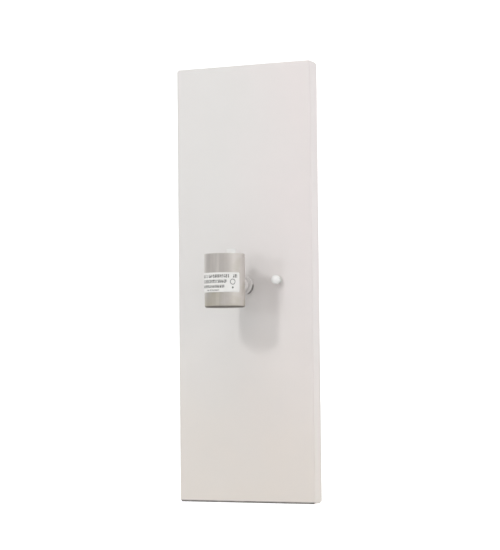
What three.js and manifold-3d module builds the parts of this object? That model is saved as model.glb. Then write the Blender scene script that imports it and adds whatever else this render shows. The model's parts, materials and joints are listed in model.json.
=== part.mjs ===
// A wall light's metalwork without its shade: a tall shallow steel pan, an upright screw-base lamp
// holder on a short horizontal arm, and two ball nuts that hold the pan on a swivelling crossbar.
//
// Units are millimetres and +Z is up. The origin is on the wall, at the centre of the outlet box that the
// crossbar is screwed to. The wall is the plane y = 0, and the lamp side of the object faces -Y.

import * as THREE from "three";
import { mergeVertices } from "three/addons/utils/BufferGeometryUtils.js";
import Module from "manifold-3d";

const wasm = await Module();
wasm.setup();

// ---------------------------------------------------------------- driving dimensions

const INCH = 25.4;
const GAP = 0.3; // clearance between pieces that touch on the real object

const PAN = {
  width: 6 * INCH,
  height: 18 * INCH,
  depth: 0.75 * INCH,
  sheet: 1.2,
  bendRadius: 1.5, // outside radius of the folded edges
  notch: 1.5, // square relief at each corner, where the four flanges are folded without a weld
  centreZ: -2, // the outlet box's centre is a little above the middle of the pan
};
const INNER_FACE = -PAN.depth + PAN.sheet; // back of the pan's front sheet
const STUD_X = 1.5 * INCH; // ball nuts are 3 inches apart

const STUD_HOLE = 2.6; // radius of the pan's two holes for the studs

const ARM = {
  z: PAN.centreZ - 2.5,
  pipeRadius: 5.1, // 1/8 IP threaded pipe
  pipeBore: 3.4,
  pipeRear: -12,
  holeRadius: 5.4,
  neckRadius: INCH / 4,
  collarRadius: 10,
  collarThickness: 2.4,
  collarRound: 1.2,
  nutAcrossFlats: 14.3,
  nutThickness: 3,
};
const LOCK_WASHER = { outer: 8, toothDepth: 1.1, thickness: 0.8, teeth: 12 };
const BUSHING = { lip: 2.2, skirt: 1.2, outer: 6.4, mouth: 4.6, round: 0.8 };

const CUP = {
  radius: (1.625 * INCH) / 2,
  wall: 0.9,
  bottom: -27, // heights are measured from the middle of the pan
  top: 27.5,
  cornerRadius: 2.2,
  standOff: 50, // lamp axis in front of the pan's face
  segments: 60,
};
const LAMP_Y = -PAN.depth - CUP.standOff;
const ARM_DROP = ARM.z - PAN.centreZ; // the arm's height from the middle of the pan

const BRACKET = {
  face: 17.5, // distance of the upright's rear face from the lamp axis
  sheet: 1.5,
  width: 9.7,
  eyeRadius: 8.4,
  top: 33.9,
  topRound: 1,
  foot: -13.5,
  footHole: 2.2,
};
const BODY = {
  radius: 17,
  top: 26,
  bottom: -1,
  floor: 4.3,
  boreRadius: 13.8,
  flat: 15.7, // distance of the flat back from the lamp axis
  bossRadius: 5,
  chamfer: 0.8,
  screwHole: 1.9,
  bossScrewDepth: 8.5,
  terminalScrewDepth: 4,
};
const SHELL = {
  crest: 13.2,
  thread: 0.75,
  pitch: INCH / 7,
  firstCrest: 1.2, // height of the first root above the shell's bottom
  waves: 5,
  wall: 0.35,
  top: 25.4,
  flangeInner: 9.4,
};
const LABEL = { halfAngle: 69, steps: 18, low: -12, high: 8, thickness: 0.2, air: 0.1 };

const TERMINAL_X = 12.2; // the two terminal screws, left and right below the floor
const CONTACT_X = -6.9; // the rivet that holds the contact spring
const SHELL_RIVET = 11; // the rivets that hold the threaded shell, behind and in front of the axis
const RIVETS = [[CONTACT_X, 0], [0, SHELL_RIVET], [0, -SHELL_RIVET]];
const RIVET = { shank: 0.85, hole: 1.15, head: 1.2, headHeight: 0.6 };
const CONTACT_RIVET = { head: 1.5, reach: 0.4 };
const TERMINAL = { thickness: 0.9, high: BODY.bottom - GAP, screwHole: 1.9 };
const UNDER_TERMINAL = TERMINAL.high - TERMINAL.thickness - GAP; // seat of the heads below the terminals
const SPRING = { thickness: 0.4, halfWidth: 2.4, rise: 2.2, low: BODY.floor + GAP / 2 };
const SPRING_TOP = SPRING.low + SPRING.rise + SPRING.thickness;
const BUTTON = { radius: 2.1, foot: 0.1, edge: 0.5, top: 1.7, domeRadius: 2.9 };

// pan-head screws: head radius, head height, shank radius, shank length
const TERMINAL_SCREW = [3, 2, 1.6, 4.4];
const BODY_SCREW = [3.4, 2.4, 1.6, 9.5];
const GROUND_SCREW = [4.4, 2.6, 2.3, 2.6];

const BALL = { radius: 4.75, standOff: 6.3, neckRadius: 3.5, boreDepth: 7.5, boreCone: 0.8, segments: 24 };
const STUD = { radius: 2.05, headRadius: 4, headHeight: 2.4, tip: -27 };
const WASHER = { outer: 4.5, thickness: 0.8 };
const JAM_NUT = { acrossFlats: 8.7, thickness: 3.2 };
const BAR = {
  sheet: 1.5,
  boxSheet: 1.6,
  width: 22,
  corner: 3,
  boxHalf: 54,
  fixtureHalf: 49,
  rise: 4.7,
  bend: 24, // distance from the middle to each bend
  bendRun: 4,
};
const BOX_SLOT = { from: 33, to: 47, radius: 2.4 };
const EYELET = {
  rear: 0.1,
  bore: 6.4,
  barrel: 7.7,
  rearFlange: 9.6,
  frontFlange: 9.1,
  flangeThickness: 0.6,
  recess: 0.9,
};
const GROUND_X = 16; // the ground screw's place on the front bar
const CUP_WASHER = { hole: 2.7, outer: 5.4, rim: 4.9, height: 1.5, thickness: 0.6 };
const FIXTURE_BAR_BACK = -BAR.boxSheet - GAP; // rear face of the swivelling bar's flat middle
const BAR_END_BACK = FIXTURE_BAR_BACK - BAR.rise; // rear face of its raised ends

const material = (color, roughness, metalness) =>
  new THREE.MeshStandardMaterial({ color, roughness, metalness });
const MATERIALS = {
  paint: material(0xe6e1de, 0.45, 0),
  cup: material(0xb8b2ab, 0.4, 0.6),
  zinc: material(0xb9bcbd, 0.35, 0.9),
  brass: material(0xc9a24e, 0.3, 0.9),
  nickel: material(0xcfcac0, 0.25, 1),
  porcelain: material(0xf2f0ea, 0.2, 0),
  label: material(0xf6f4f0, 0.6, 0),
  green: material(0x2f8a4a, 0.4, 0.5),
  nylon: material(0xf0efe8, 0.5, 0),
};

// ---------------------------------------------------------------- solids and meshes

/** A manifold solid from a closed three.js geometry, turned to face outwards. */
function solid(geometry) {
  const bare = geometry.index ? geometry.toNonIndexed() : geometry.clone();
  bare.deleteAttribute("normal");
  bare.deleteAttribute("uv");
  const merged = mergeVertices(bare, 1e-4);
  const vertProperties = merged.attributes.position.array;
  const triVerts = new Uint32Array(merged.index.array);
  const build = () => new wasm.Manifold(new wasm.Mesh({ numProp: 3, vertProperties, triVerts }));
  const made = build();
  if (made.volume() > 0) return made;
  for (let i = 0; i < triVerts.length; i += 3) {
    [triVerts[i + 1], triVerts[i + 2]] = [triVerts[i + 2], triVerts[i + 1]];
  }
  return build();
}

/** A named mesh of a solid. */
function mesh(name, shape, finish) {
  const { numProp, vertProperties, triVerts, numVert } = shape.getMesh();
  const position = new Float32Array(numVert * 3);
  for (let i = 0; i < numVert; i++) {
    position.set(vertProperties.subarray(i * numProp, i * numProp + 3), i * 3);
  }
  const geometry = new THREE.BufferGeometry()
    .setAttribute("position", new THREE.BufferAttribute(position, 3))
    .setIndex(new THREE.BufferAttribute(triVerts, 1));
  geometry.computeVertexNormals();
  const made = new THREE.Mesh(geometry, finish);
  made.name = name;
  return made;
}

/** A group at a place, holding the given children. */
function assembly(x, y, z, ...children) {
  const group = new THREE.Group();
  group.position.set(x, y, z);
  group.add(...children);
  return group;
}

/** The same, with its local +Z pointing out of the wall towards -Y, and its local +Y pointing up. */
function outward(x, y, z, ...children) {
  const group = assembly(x, y, z, ...children);
  group.rotation.x = Math.PI / 2;
  return group;
}

/** Arc points of a profile, from angle a to angle b in degrees. */
function arc(cx, cy, radius, a, b, steps) {
  return Array.from({ length: steps + 1 }, (_, i) => {
    const angle = THREE.MathUtils.degToRad(a + ((b - a) * i) / steps);
    return [cx + radius * Math.cos(angle), cy + radius * Math.sin(angle)];
  });
}

/** A solid of revolution about Z. Its profile points [radius, height] start and end on the axis, or close. */
function turned(points, segments = 24) {
  const profile = points.map(([r, h]) => new THREE.Vector2(r, h));
  return solid(new THREE.LatheGeometry(profile, segments).rotateX(Math.PI / 2));
}

/** A round bar along Z. */
const rod = (radius, low, high, segments = 24) =>
  turned([[0, low], [radius, low], [radius, high], [0, high]], segments);

/** A ring along Z. */
const ring = (outer, inner, low, high, segments = 24) =>
  turned([[inner, low], [outer, low], [outer, high], [inner, high], [inner, low]], segments);

/** A rectangular block between two corners. */
function block(x0, x1, y0, y1, z0, z1) {
  const box = new THREE.BoxGeometry(x1 - x0, y1 - y0, z1 - z0);
  return solid(box.translate((x0 + x1) / 2, (y0 + y1) / 2, (z0 + z1) / 2));
}

/** A flat outline in XY, with holes, extruded along Z. */
function extruded(outline, holes, low, high) {
  const shape = new THREE.Shape(outline.map(([x, y]) => new THREE.Vector2(x, y)));
  shape.holes = holes.map((hole) => new THREE.Path(hole.map(([x, y]) => new THREE.Vector2(x, y))));
  const geometry = new THREE.ExtrudeGeometry(shape, { depth: high - low, bevelEnabled: false });
  return solid(geometry.translate(0, 0, low));
}

/** A circle as outline points. */
const circle = (x, y, radius, steps = 24) => arc(x, y, radius, 0, 360, steps).slice(0, -1);

/** A straight slot with round ends, lying along Y. */
const slot = (x, y0, y1, radius) => [
  ...arc(x, y1, radius, 0, 180, 6),
  ...arc(x, y0, radius, 180, 360, 6),
];

/** A hexagonal nut along Z, of a given width across its flats, with its corners chamfered. */
function hexNut(acrossFlats, bore, low, high) {
  const corner = acrossFlats / Math.sqrt(3);
  const chamfer = 0.12 * acrossFlats;
  const outline = Array.from({ length: 6 }, (_, i) => {
    const angle = (i * Math.PI) / 3;
    return [corner * Math.cos(angle), corner * Math.sin(angle)];
  });
  const cone = turned([
    [0, low],
    [corner - chamfer, low],
    [corner, low + chamfer / 2],
    [corner, high - chamfer / 2],
    [corner - chamfer, high],
    [0, high],
  ]);
  return extruded(outline, [circle(0, 0, bore)], low, high).intersect(cone);
}

/** A pan-head screw along Z: head from 0 to height, shank down to -length, with a cross recess. */
function panScrew([headRadius, height, shankRadius, length]) {
  const round = height * 0.6;
  const screw = turned([
    [0, -length],
    [shankRadius - 0.4, -length],
    [shankRadius, -length + 0.5],
    [shankRadius, 0],
    [headRadius, 0],
    [headRadius, height - round],
    [headRadius - round * 0.4, height - round * 0.3],
    [headRadius - round, height],
    [0, height],
  ], 16);
  const arm = headRadius * 0.55;
  const half = headRadius * 0.13;
  const depth = height * 0.55;
  return screw
    .subtract(block(-arm, arm, -half, half, height - depth, height + 1))
    .subtract(block(-half, half, -arm, arm, height - depth, height + 1));
}

// ---------------------------------------------------------------- wall side: crossbar and eyelet

/** The rear bar, upright against the outlet box, with a slot for a box screw above and below. */
function boxBar() {
  const x = BAR.width / 2 - BAR.corner;
  const y = BAR.boxHalf - BAR.corner;
  const outline = [
    ...arc(x, y, BAR.corner, 0, 90, 4),
    ...arc(-x, y, BAR.corner, 90, 180, 4),
    ...arc(-x, -y, BAR.corner, 180, 270, 4),
    ...arc(x, -y, BAR.corner, 270, 360, 4),
  ];
  const holes = [
    circle(0, 0, EYELET.barrel + GAP),
    slot(0, BOX_SLOT.from, BOX_SLOT.to, BOX_SLOT.radius),
    slot(0, -BOX_SLOT.to, -BOX_SLOT.from, BOX_SLOT.radius),
  ];
  const bar = extruded(outline, holes, 0, BAR.boxSheet);
  return bar.subtract(rod(EYELET.rearFlange + GAP, -1, EYELET.recess));
}

/** The threaded eyelet that the two bars turn on, its rear flange sunk into the rear bar. */
function swivelEyelet() {
  const { rear, bore, barrel, rearFlange, frontFlange, flangeThickness } = EYELET;
  const front = BAR.boxSheet + GAP + BAR.sheet + GAP + rear;
  return turned([
    [bore, rear],
    [rearFlange, rear],
    [rearFlange, rear + flangeThickness],
    [barrel, rear + flangeThickness],
    [barrel, front],
    [frontFlange, front],
    [frontFlange, front + flangeThickness],
    [bore, front + flangeThickness],
    [bore, rear],
  ]);
}

/** The front bar: a flat middle, two bends and raised ends, holed for eyelet, studs and ground screw. */
function fixtureBar() {
  const back = -FIXTURE_BAR_BACK;
  const step = BAR.bend + BAR.bendRun;
  const edge = [
    [-BAR.fixtureHalf, back + BAR.rise],
    [-step, back + BAR.rise],
    [-BAR.bend, back],
    [BAR.bend, back],
    [step, back + BAR.rise],
    [BAR.fixtureHalf, back + BAR.rise],
  ];
  const front = edge.map(([x, h]) => [x, h + BAR.sheet]).reverse();
  const half = BAR.width / 2;
  const bar = extruded([...edge, ...front], [], -half, half).rotate([90, 0, 0]);
  const holes = [
    [0, EYELET.barrel + GAP],
    [GROUND_X, CUP_WASHER.hole],
    [STUD_X, STUD.radius + GAP],
    [-STUD_X, STUD.radius + GAP],
  ];
  return holes.reduce((left, [x, radius]) => {
    const drill = rod(radius, 0, PAN.depth).translate([x, 0, 0]);
    return left.subtract(drill);
  }, bar);
}

/** The cup washer under the ground screw: a disc with an upturned rim. */
function cupWasher() {
  const { hole, outer, rim, height, thickness } = CUP_WASHER;
  return turned([
    [hole, 0],
    [outer, 0],
    [outer, height],
    [rim, height],
    [rim, thickness],
    [hole, thickness],
    [hole, 0],
  ]);
}

const wallSide = outward(
  0, 0, 0,
  mesh("box_bar", boxBar(), MATERIALS.zinc),
  mesh("swivel_eyelet", swivelEyelet(), MATERIALS.zinc),
);

const barFront = -FIXTURE_BAR_BACK + BAR.sheet;
const crossbar = outward(
  0, 0, 0,
  mesh("fixture_bar", fixtureBar(), MATERIALS.zinc),
  assembly(
    GROUND_X, 0, barFront + GAP,
    mesh("ground_cup_washer", cupWasher(), MATERIALS.brass),
    assembly(0, 0, CUP_WASHER.thickness + GAP, mesh("ground_screw", panScrew(GROUND_SCREW), MATERIALS.green)),
  ),
);

// ---------------------------------------------------------------- pan

/** Cross-section of the folded sheet's outside or inside: a U whose two front corners are rounded. */
function panSection(halfWidth, inset) {
  const half = halfWidth - inset;
  const front = PAN.depth - inset;
  const radius = PAN.bendRadius - inset;
  const open = inset > 0 ? -1 : 0;
  return [
    [-half, open],
    [half, open],
    ...arc(half - radius, front - radius, radius, 0, 90, 5),
    ...arc(radius - half, front - radius, radius, 90, 180, 5),
  ];
}

/** A block with the pan's rounded front edges, on all four sides. */
function panBlock(inset) {
  const along = (halfWidth, halfLength) =>
    extruded(panSection(halfWidth, inset), [], -halfLength, halfLength).rotate([90, 0, 0]);
  const upright = along(PAN.width / 2, PAN.height / 2 - inset);
  const level = along(PAN.height / 2, PAN.width / 2 - inset).rotate([0, 0, 90]);
  return upright.intersect(level);
}

/** The pan: one folded sheet with four flanges, notched corners, and holes for the arm and the two studs. */
function wallPan() {
  const corners = [-1, 1].flatMap((sx) => [-1, 1].map((sy) => {
    const x = sx * (PAN.width / 2);
    const y = sy * (PAN.height / 2);
    const n = PAN.notch;
    return block(x - n, x + n, y - n, y + n, -1, PAN.depth + 1);
  }));
  const holes = [
    [0, ARM_DROP, ARM.holeRadius],
    [STUD_X, -PAN.centreZ, STUD_HOLE],
    [-STUD_X, -PAN.centreZ, STUD_HOLE],
  ].map(([x, y, radius]) => rod(radius, PAN.depth / 2, PAN.depth + 1).translate([x, y, 0]));
  const sheet = panBlock(0).subtract(panBlock(PAN.sheet));
  return [...corners, ...holes].reduce((left, cut) => left.subtract(cut), sheet);
}

const pan = outward(0, 0, PAN.centreZ, mesh("wall_pan", wallPan(), MATERIALS.paint));

// ---------------------------------------------------------------- studs and ball nuts

/** A ball with a short neck, bored from its neck end. */
function ballNut() {
  const centre = BALL.standOff - WASHER.thickness - GAP * 2;
  const meet = (Math.asin(BALL.neckRadius / BALL.radius) * 180) / Math.PI - 90;
  return turned([
    [0, BALL.boreDepth],
    [STUD.radius + GAP, BALL.boreDepth - BALL.boreCone],
    [STUD.radius + GAP, 0],
    [BALL.neckRadius, 0],
    ...arc(0, centre, BALL.radius, meet, 82, 9),
    [0, centre + BALL.radius],
  ], BALL.segments);
}

/** One stud with its jam nut, captive washer and ball nut. */
function studSet(side, x) {
  const headSeat = -BAR_END_BACK - GAP; // outward distance of the head's seat behind the raised end
  const barEndFront = -BAR_END_BACK + BAR.sheet;
  const nutSeat = barEndFront + GAP;
  const stud = panScrew([STUD.headRadius, STUD.headHeight, STUD.radius, -STUD.tip - headSeat]);
  const nut = hexNut(JAM_NUT.acrossFlats, STUD.radius + GAP, nutSeat, nutSeat + JAM_NUT.thickness);
  const washer = ring(WASHER.outer, STUD.radius + GAP, 0, WASHER.thickness);
  return outward(
    x, 0, 0,
    mesh(`stud_${side}`, stud.rotate([180, 0, 0]).translate([0, 0, headSeat]), MATERIALS.zinc),
    mesh(`jam_nut_${side}`, nut, MATERIALS.zinc),
    assembly(
      0, 0, PAN.depth + GAP,
      mesh(`nut_washer_${side}`, washer, MATERIALS.nylon),
      assembly(0, 0, WASHER.thickness + GAP, mesh(`ball_nut_${side}`, ballNut(), MATERIALS.paint)),
    ),
  );
}

// ---------------------------------------------------------------- arm

const NUT_REAR = -INNER_FACE - GAP; // outward distance of the rear washer's front face
const CUP_BACK = -LAMP_Y - CUP.radius; // outward distance of the cup's nearest point to the pan
const PIPE_FRONT = -LAMP_Y - BRACKET.face + BRACKET.sheet; // the pipe ends flush inside the bracket's eye

/** The neck: a plain tube round the pipe, its front end shaped to the round cup. */
function armNeck() {
  const start = PAN.depth + GAP * 2 + ARM.collarThickness;
  const tube = ring(ARM.neckRadius, ARM.pipeRadius + GAP, start, CUP_BACK + 3);
  const cup = rod(CUP.radius + GAP, -20, 20, CUP.segments).rotate([90, 0, 0]);
  return tube.subtract(cup.translate([0, 0, -LAMP_Y]));
}

/** The round collar that hides the hole in the pan, with a rounded front edge. */
function armCollar() {
  const back = PAN.depth + GAP;
  const front = back + ARM.collarThickness;
  const round = ARM.collarRound;
  return turned([
    [ARM.pipeRadius + GAP, back],
    [ARM.collarRadius, back],
    ...arc(ARM.collarRadius - round, front - round, round, 0, 90, 3),
    [ARM.pipeRadius + GAP, front],
    [ARM.pipeRadius + GAP, back],
  ], 32);
}

/** The toothed lock washer: a thin ring with notches round its outer edge. */
function lockWasher(high) {
  const { outer, toothDepth, thickness, teeth } = LOCK_WASHER;
  const outline = Array.from({ length: teeth * 4 }, (_, i) => {
    const radius = i % 4 < 2 ? outer : outer - toothDepth;
    const angle = (i * Math.PI) / (teeth * 2);
    return [radius * Math.cos(angle), radius * Math.sin(angle)];
  });
  return extruded(outline, [circle(0, 0, ARM.pipeRadius + GAP)], high - thickness, high);
}

/** The plastic bushing over the pipe's rear end, with a rounded mouth for the wires. */
function wireBushing() {
  const end = -ARM.pipeRear;
  const mouth = end - BUSHING.lip;
  const inner = ARM.pipeRadius + GAP;
  return turned([
    [ARM.pipeBore, mouth],
    [BUSHING.mouth, mouth],
    [BUSHING.outer, mouth + BUSHING.round],
    [BUSHING.outer, end + BUSHING.skirt],
    [inner, end + BUSHING.skirt],
    [inner, end - GAP],
    [ARM.pipeBore, end - GAP],
    [ARM.pipeBore, mouth],
  ]);
}

const nutFront = NUT_REAR - LOCK_WASHER.thickness - GAP;
const locknut = hexNut(ARM.nutAcrossFlats, ARM.pipeRadius + GAP, nutFront - ARM.nutThickness, nutFront);
const arm = outward(
  0, 0, ARM.z,
  mesh("arm_pipe", ring(ARM.pipeRadius, ARM.pipeBore, -ARM.pipeRear, PIPE_FRONT), MATERIALS.zinc),
  mesh("wire_bushing", wireBushing(), MATERIALS.nylon),
  mesh("pipe_locknut", locknut, MATERIALS.zinc),
  mesh("pipe_lock_washer", lockWasher(NUT_REAR), MATERIALS.zinc),
  mesh("arm_collar", armCollar(), MATERIALS.paint),
  mesh("arm_neck", armNeck(), MATERIALS.paint),
);

// ---------------------------------------------------------------- lamp holder, about its own upright axis
// In this group +Y points back to the wall and heights are measured from the middle of the pan.

/** A round bar along Y at the arm's height, behind the axis, for the holes that the pipe goes through. */
const pipeHole = () =>
  rod(ARM.pipeRadius + GAP, -PAN.depth - 6, -10).rotate([90, 0, 0]).translate([0, 0, ARM_DROP]);

/** The spun metal cup, open at the top, with a rounded bottom edge and a hole for the pipe. */
function socketCup() {
  const inner = CUP.radius - CUP.wall;
  const corner = CUP.cornerRadius;
  const shell = turned([
    [0, CUP.bottom],
    ...arc(CUP.radius - corner, CUP.bottom + corner, corner, -90, 0, 3),
    [CUP.radius, CUP.top],
    [inner, CUP.top],
    ...arc(CUP.radius - corner, CUP.bottom + corner, corner - CUP.wall, 0, -90, 2),
    [0, CUP.bottom + CUP.wall],
  ], CUP.segments);
  return shell.subtract(pipeHole());
}

/** The L-shaped steel bracket inside the cup: it screws on the pipe, and its foot carries the lamp holder. */
function socketBracket() {
  const { face, sheet, width, eyeRadius, top, topRound, foot, footHole } = BRACKET;
  const half = width / 2;
  const meet = THREE.MathUtils.radToDeg(Math.acos(half / eyeRadius)); // where the eye leaves the strip
  const outline = [
    [-half, foot],
    [half, foot],
    ...arc(0, ARM_DROP, eyeRadius, -meet, meet, 8),
    ...arc(half - topRound, top - topRound, topRound, 0, 90, 3),
    ...arc(topRound - half, top - topRound, topRound, 90, 180, 3),
    ...arc(0, ARM_DROP, eyeRadius, 180 - meet, 180 + meet, 8),
  ];
  const upright = extruded(outline, [], 0, sheet).rotate([90, 0, 0]).translate([0, face, 0]);
  return upright
    .add(block(-half, half, -half, face, foot, foot + sheet))
    .subtract(pipeHole())
    .subtract(rod(footHole, foot - 1, foot + 3));
}

/** The glazed lamp-holder body: a deep well, a floor, a boss below, and a flat back beside the bracket. */
function socketBody() {
  const { radius, top, bottom, floor, boreRadius, flat, bossRadius, chamfer, screwHole } = BODY;
  const boss = BRACKET.foot + BRACKET.sheet + GAP;
  const body = turned([
    [0, boss],
    [bossRadius, boss],
    [bossRadius, bottom],
    [radius - chamfer, bottom],
    [radius, bottom + chamfer],
    [radius, top - chamfer],
    [radius - chamfer, top],
    [boreRadius, top],
    [boreRadius, floor],
    [0, floor],
  ], 36);
  const terminalHole = rod(screwHole, bottom - 1, bottom + BODY.terminalScrewDepth, 16);
  const cuts = [
    block(-radius, radius, flat, radius + 1, bottom - 1, top + 1),
    rod(screwHole, boss - 1, boss + BODY.bossScrewDepth),
    ...RIVETS.map(([x, y]) => rod(RIVET.hole, bottom - 1, floor + 1, 16).translate([x, y, 0])),
    terminalHole.translate([-TERMINAL_X, 0, 0]),
    terminalHole.translate([TERMINAL_X, 0, 0]),
  ];
  return cuts.reduce((left, cut) => left.subtract(cut), body);
}

/** The threaded shell: a thin tube with a ridge for each turn and an inward flange at its bottom. */
function screwShell() {
  const { thread, pitch, wall, waves, top, flangeInner } = SHELL;
  const low = BODY.floor + GAP;
  const root = SHELL.crest - thread;
  const ridge = (offset) => Array.from({ length: waves * 2 + 1 }, (_, i) => [
    root + thread * (i % 2) + offset,
    low + SHELL.firstCrest + (i * pitch) / 2,
  ]);
  const tube = turned([
    [flangeInner, low],
    [root + wall, low],
    ...ridge(wall),
    [root + wall, top],
    [root, top],
    ...ridge(0).reverse(),
    [root, low + wall],
    [flangeInner, low + wall],
    [flangeInner, low],
  ], 28);
  const hole = rod(RIVET.hole, low - 1, low + 1, 16);
  return tube.subtract(hole.translate([0, SHELL_RIVET, 0])).subtract(hole.translate([0, -SHELL_RIVET, 0]));
}

/** A rivet along Z between two seats, with a flat head below and a domed head above. */
const rivet = (low, high, head = RIVET.head) => turned([
  [0, low - RIVET.headHeight],
  [head, low - RIVET.headHeight],
  [head, low],
  [RIVET.shank, low],
  [RIVET.shank, high],
  [head, high],
  [head * 0.6, high + RIVET.headHeight],
  [0, high + RIVET.headHeight],
], 12);

/** The contact spring: a brass strip riveted down at its left end, whose free end rises under the button. */
function contactSpring() {
  const { thickness, halfWidth, rise, low } = SPRING;
  const under = [[-8.7, 0], [-4.6, 0], [-2.2, rise], [2.6, rise], [3.4, rise - 0.8]];
  const lean = [0, -thickness / 2, -thickness / 2, thickness / 2, thickness];
  const over = under.map(([x, z], i) => [x + lean[i], z + thickness]).reverse();
  const edge = [...under, ...over].map(([x, z]) => [x, z + low]);
  return extruded(edge, [], -halfWidth, halfWidth)
    .rotate([90, 0, 0])
    .subtract(rod(RIVET.hole, 0, low + 1, 16).translate([CONTACT_X, 0, 0]));
}

/** The domed button on the spring's free end, which the lamp's tip presses. */
function contactButton() {
  const { radius, foot, edge, top, domeRadius } = BUTTON;
  return turned([
    [0, SPRING_TOP + foot],
    [radius, SPRING_TOP + foot],
    [radius, SPRING_TOP + edge],
    ...arc(0, SPRING_TOP + top - domeRadius, domeRadius, 36, 84, 3),
    [0, SPRING_TOP + top],
  ], 16);
}

/** A terminal plate under the floor, drilled for its rivet and its screw. */
function terminalPlate(outline, holes) {
  const cuts = holes.map(([x, y, radius]) => circle(x, y, radius, 16));
  return extruded(outline, cuts, TERMINAL.high - TERMINAL.thickness, TERMINAL.high);
}

/** The hot terminal: a brass plate from the contact's rivet to its screw. */
const hotTerminal = () => terminalPlate(
  [[-16, -3.5], [-5.4, -3.5], [-5.4, 3.5], [-16, 3.5]],
  [[CONTACT_X, 0, RIVET.hole], [-TERMINAL_X, 0, TERMINAL.screwHole]],
);

/** The neutral terminal: a plate that runs round from the shell's front rivet to its screw. */
const neutralTerminal = () => terminalPlate(
  [[-3, -14], [3, -14], [14.6, -7], [16, -3.5], [16, 3.5], [9, 3.5], [6, -6], [-3, -8.6]],
  [[0, -SHELL_RIVET, RIVET.hole], [TERMINAL_X, 0, TERMINAL.screwHole]],
);

/** The paper label: a thin strip bent round the front of the cup. */
function curvedLabel() {
  const inner = CUP.radius + LABEL.air;
  const from = -90 - LABEL.halfAngle;
  const to = -90 + LABEL.halfAngle;
  const outline = [
    ...arc(0, 0, inner + LABEL.thickness, from, to, LABEL.steps),
    ...arc(0, 0, inner, to, from, LABEL.steps),
  ];
  return extruded(outline, [], LABEL.low, LABEL.high);
}

/** A named mesh at a place of the lamp holder. */
const placed = (name, shape, finish, x = 0, y = 0, z = 0) => mesh(name, shape.translate([x, y, z]), finish);

const upwardScrew = (size) => panScrew(size).rotate([180, 0, 0]);
const shellSeat = BODY.floor + GAP * 2 + SHELL.wall;
const lampHolder = assembly(
  0, LAMP_Y, PAN.centreZ,
  mesh("socket_cup", socketCup(), MATERIALS.cup),
  mesh("socket_bracket", socketBracket(), MATERIALS.paint),
  mesh("socket_body", socketBody(), MATERIALS.porcelain),
  mesh("screw_shell", screwShell(), MATERIALS.nickel),
  mesh("contact_spring", contactSpring(), MATERIALS.brass),
  mesh("contact_button", contactButton(), MATERIALS.nickel),
  mesh("hot_terminal", hotTerminal(), MATERIALS.brass),
  mesh("neutral_terminal", neutralTerminal(), MATERIALS.nickel),
  mesh("rating_label", curvedLabel(), MATERIALS.label),
  placed("contact_rivet", rivet(UNDER_TERMINAL, BODY.floor + GAP + CONTACT_RIVET.reach, CONTACT_RIVET.head),
    MATERIALS.brass, CONTACT_X),
  placed("shell_rivet_rear", rivet(BODY.bottom - GAP, shellSeat), MATERIALS.nickel, 0, SHELL_RIVET),
  placed("shell_rivet_front", rivet(UNDER_TERMINAL, shellSeat), MATERIALS.nickel, 0, -SHELL_RIVET),
  placed("hot_terminal_screw", upwardScrew(TERMINAL_SCREW), MATERIALS.brass, -TERMINAL_X, 0, UNDER_TERMINAL),
  placed("neutral_terminal_screw", upwardScrew(TERMINAL_SCREW), MATERIALS.nickel,
    TERMINAL_X, 0, UNDER_TERMINAL),
  placed("body_screw", upwardScrew(BODY_SCREW), MATERIALS.zinc, 0, 0, BRACKET.foot - GAP),
);

// ---------------------------------------------------------------- the whole object

const sconce = new THREE.Group();
sconce.add(wallSide, crossbar, pan, studSet("left", -STUD_X), studSet("right", STUD_X), arm, lampHolder);
export default sconce;
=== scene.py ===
"""Looks for a wall light's metalwork: a tall folded pan, an upright lamp holder on a short arm, and the
swivelling crossbar behind the pan. Lengths inside the builders are millimetres and are scaled once, when a
mesh is made."""

import json
import logging
import math
from dataclasses import dataclass, field
from enum import Enum
from typing import Any, Callable

import bmesh
import bpy
import numpy as np
from mathutils import Matrix, Vector


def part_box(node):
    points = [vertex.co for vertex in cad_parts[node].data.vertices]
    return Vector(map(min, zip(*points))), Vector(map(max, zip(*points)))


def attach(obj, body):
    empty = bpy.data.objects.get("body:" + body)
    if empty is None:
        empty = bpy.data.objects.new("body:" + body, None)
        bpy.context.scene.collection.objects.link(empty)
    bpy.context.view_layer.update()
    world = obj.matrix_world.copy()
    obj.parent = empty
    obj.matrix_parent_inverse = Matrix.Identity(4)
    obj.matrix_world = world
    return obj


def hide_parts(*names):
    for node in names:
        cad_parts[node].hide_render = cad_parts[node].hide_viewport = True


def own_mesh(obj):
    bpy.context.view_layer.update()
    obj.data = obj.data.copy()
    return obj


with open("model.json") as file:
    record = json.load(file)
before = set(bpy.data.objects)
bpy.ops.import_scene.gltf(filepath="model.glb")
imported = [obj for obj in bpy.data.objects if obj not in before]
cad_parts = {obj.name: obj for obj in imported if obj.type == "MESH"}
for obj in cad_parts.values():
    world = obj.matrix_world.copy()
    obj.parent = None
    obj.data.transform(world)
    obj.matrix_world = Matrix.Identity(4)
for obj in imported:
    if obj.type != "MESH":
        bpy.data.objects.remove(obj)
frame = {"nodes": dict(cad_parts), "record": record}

MM = 0.001
MERGE = 1e-6
SHARP = math.radians(38)
TURN = 2 * math.pi
THREAD_ROWS = 8  # rows of points along one pitch of a thread

GAP = 0.3  # clearance between pieces that touch, in millimetres
STUD_RADIUS = 2.05
STUD_BORE = 2.35  # what the studs pass through: bar, washer and ball nut
STUD_HOLE = 2.6  # the pan's holes for them
STUD_PITCH = 25.4 / 32

Array = np.ndarray
Colour = tuple[float, float, float]
log = logging.getLogger("wall_light")

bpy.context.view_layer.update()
BODY_OF = {node: body for body, nodes in frame["record"]["behaviour"]["bodies"].items() for node in nodes}
SLOT_OF = {part["node"]: part["material_slot"] for part in frame["record"]["subparts"]}


# ---------------------------------------------------------------- where the frame's parts are


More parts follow.
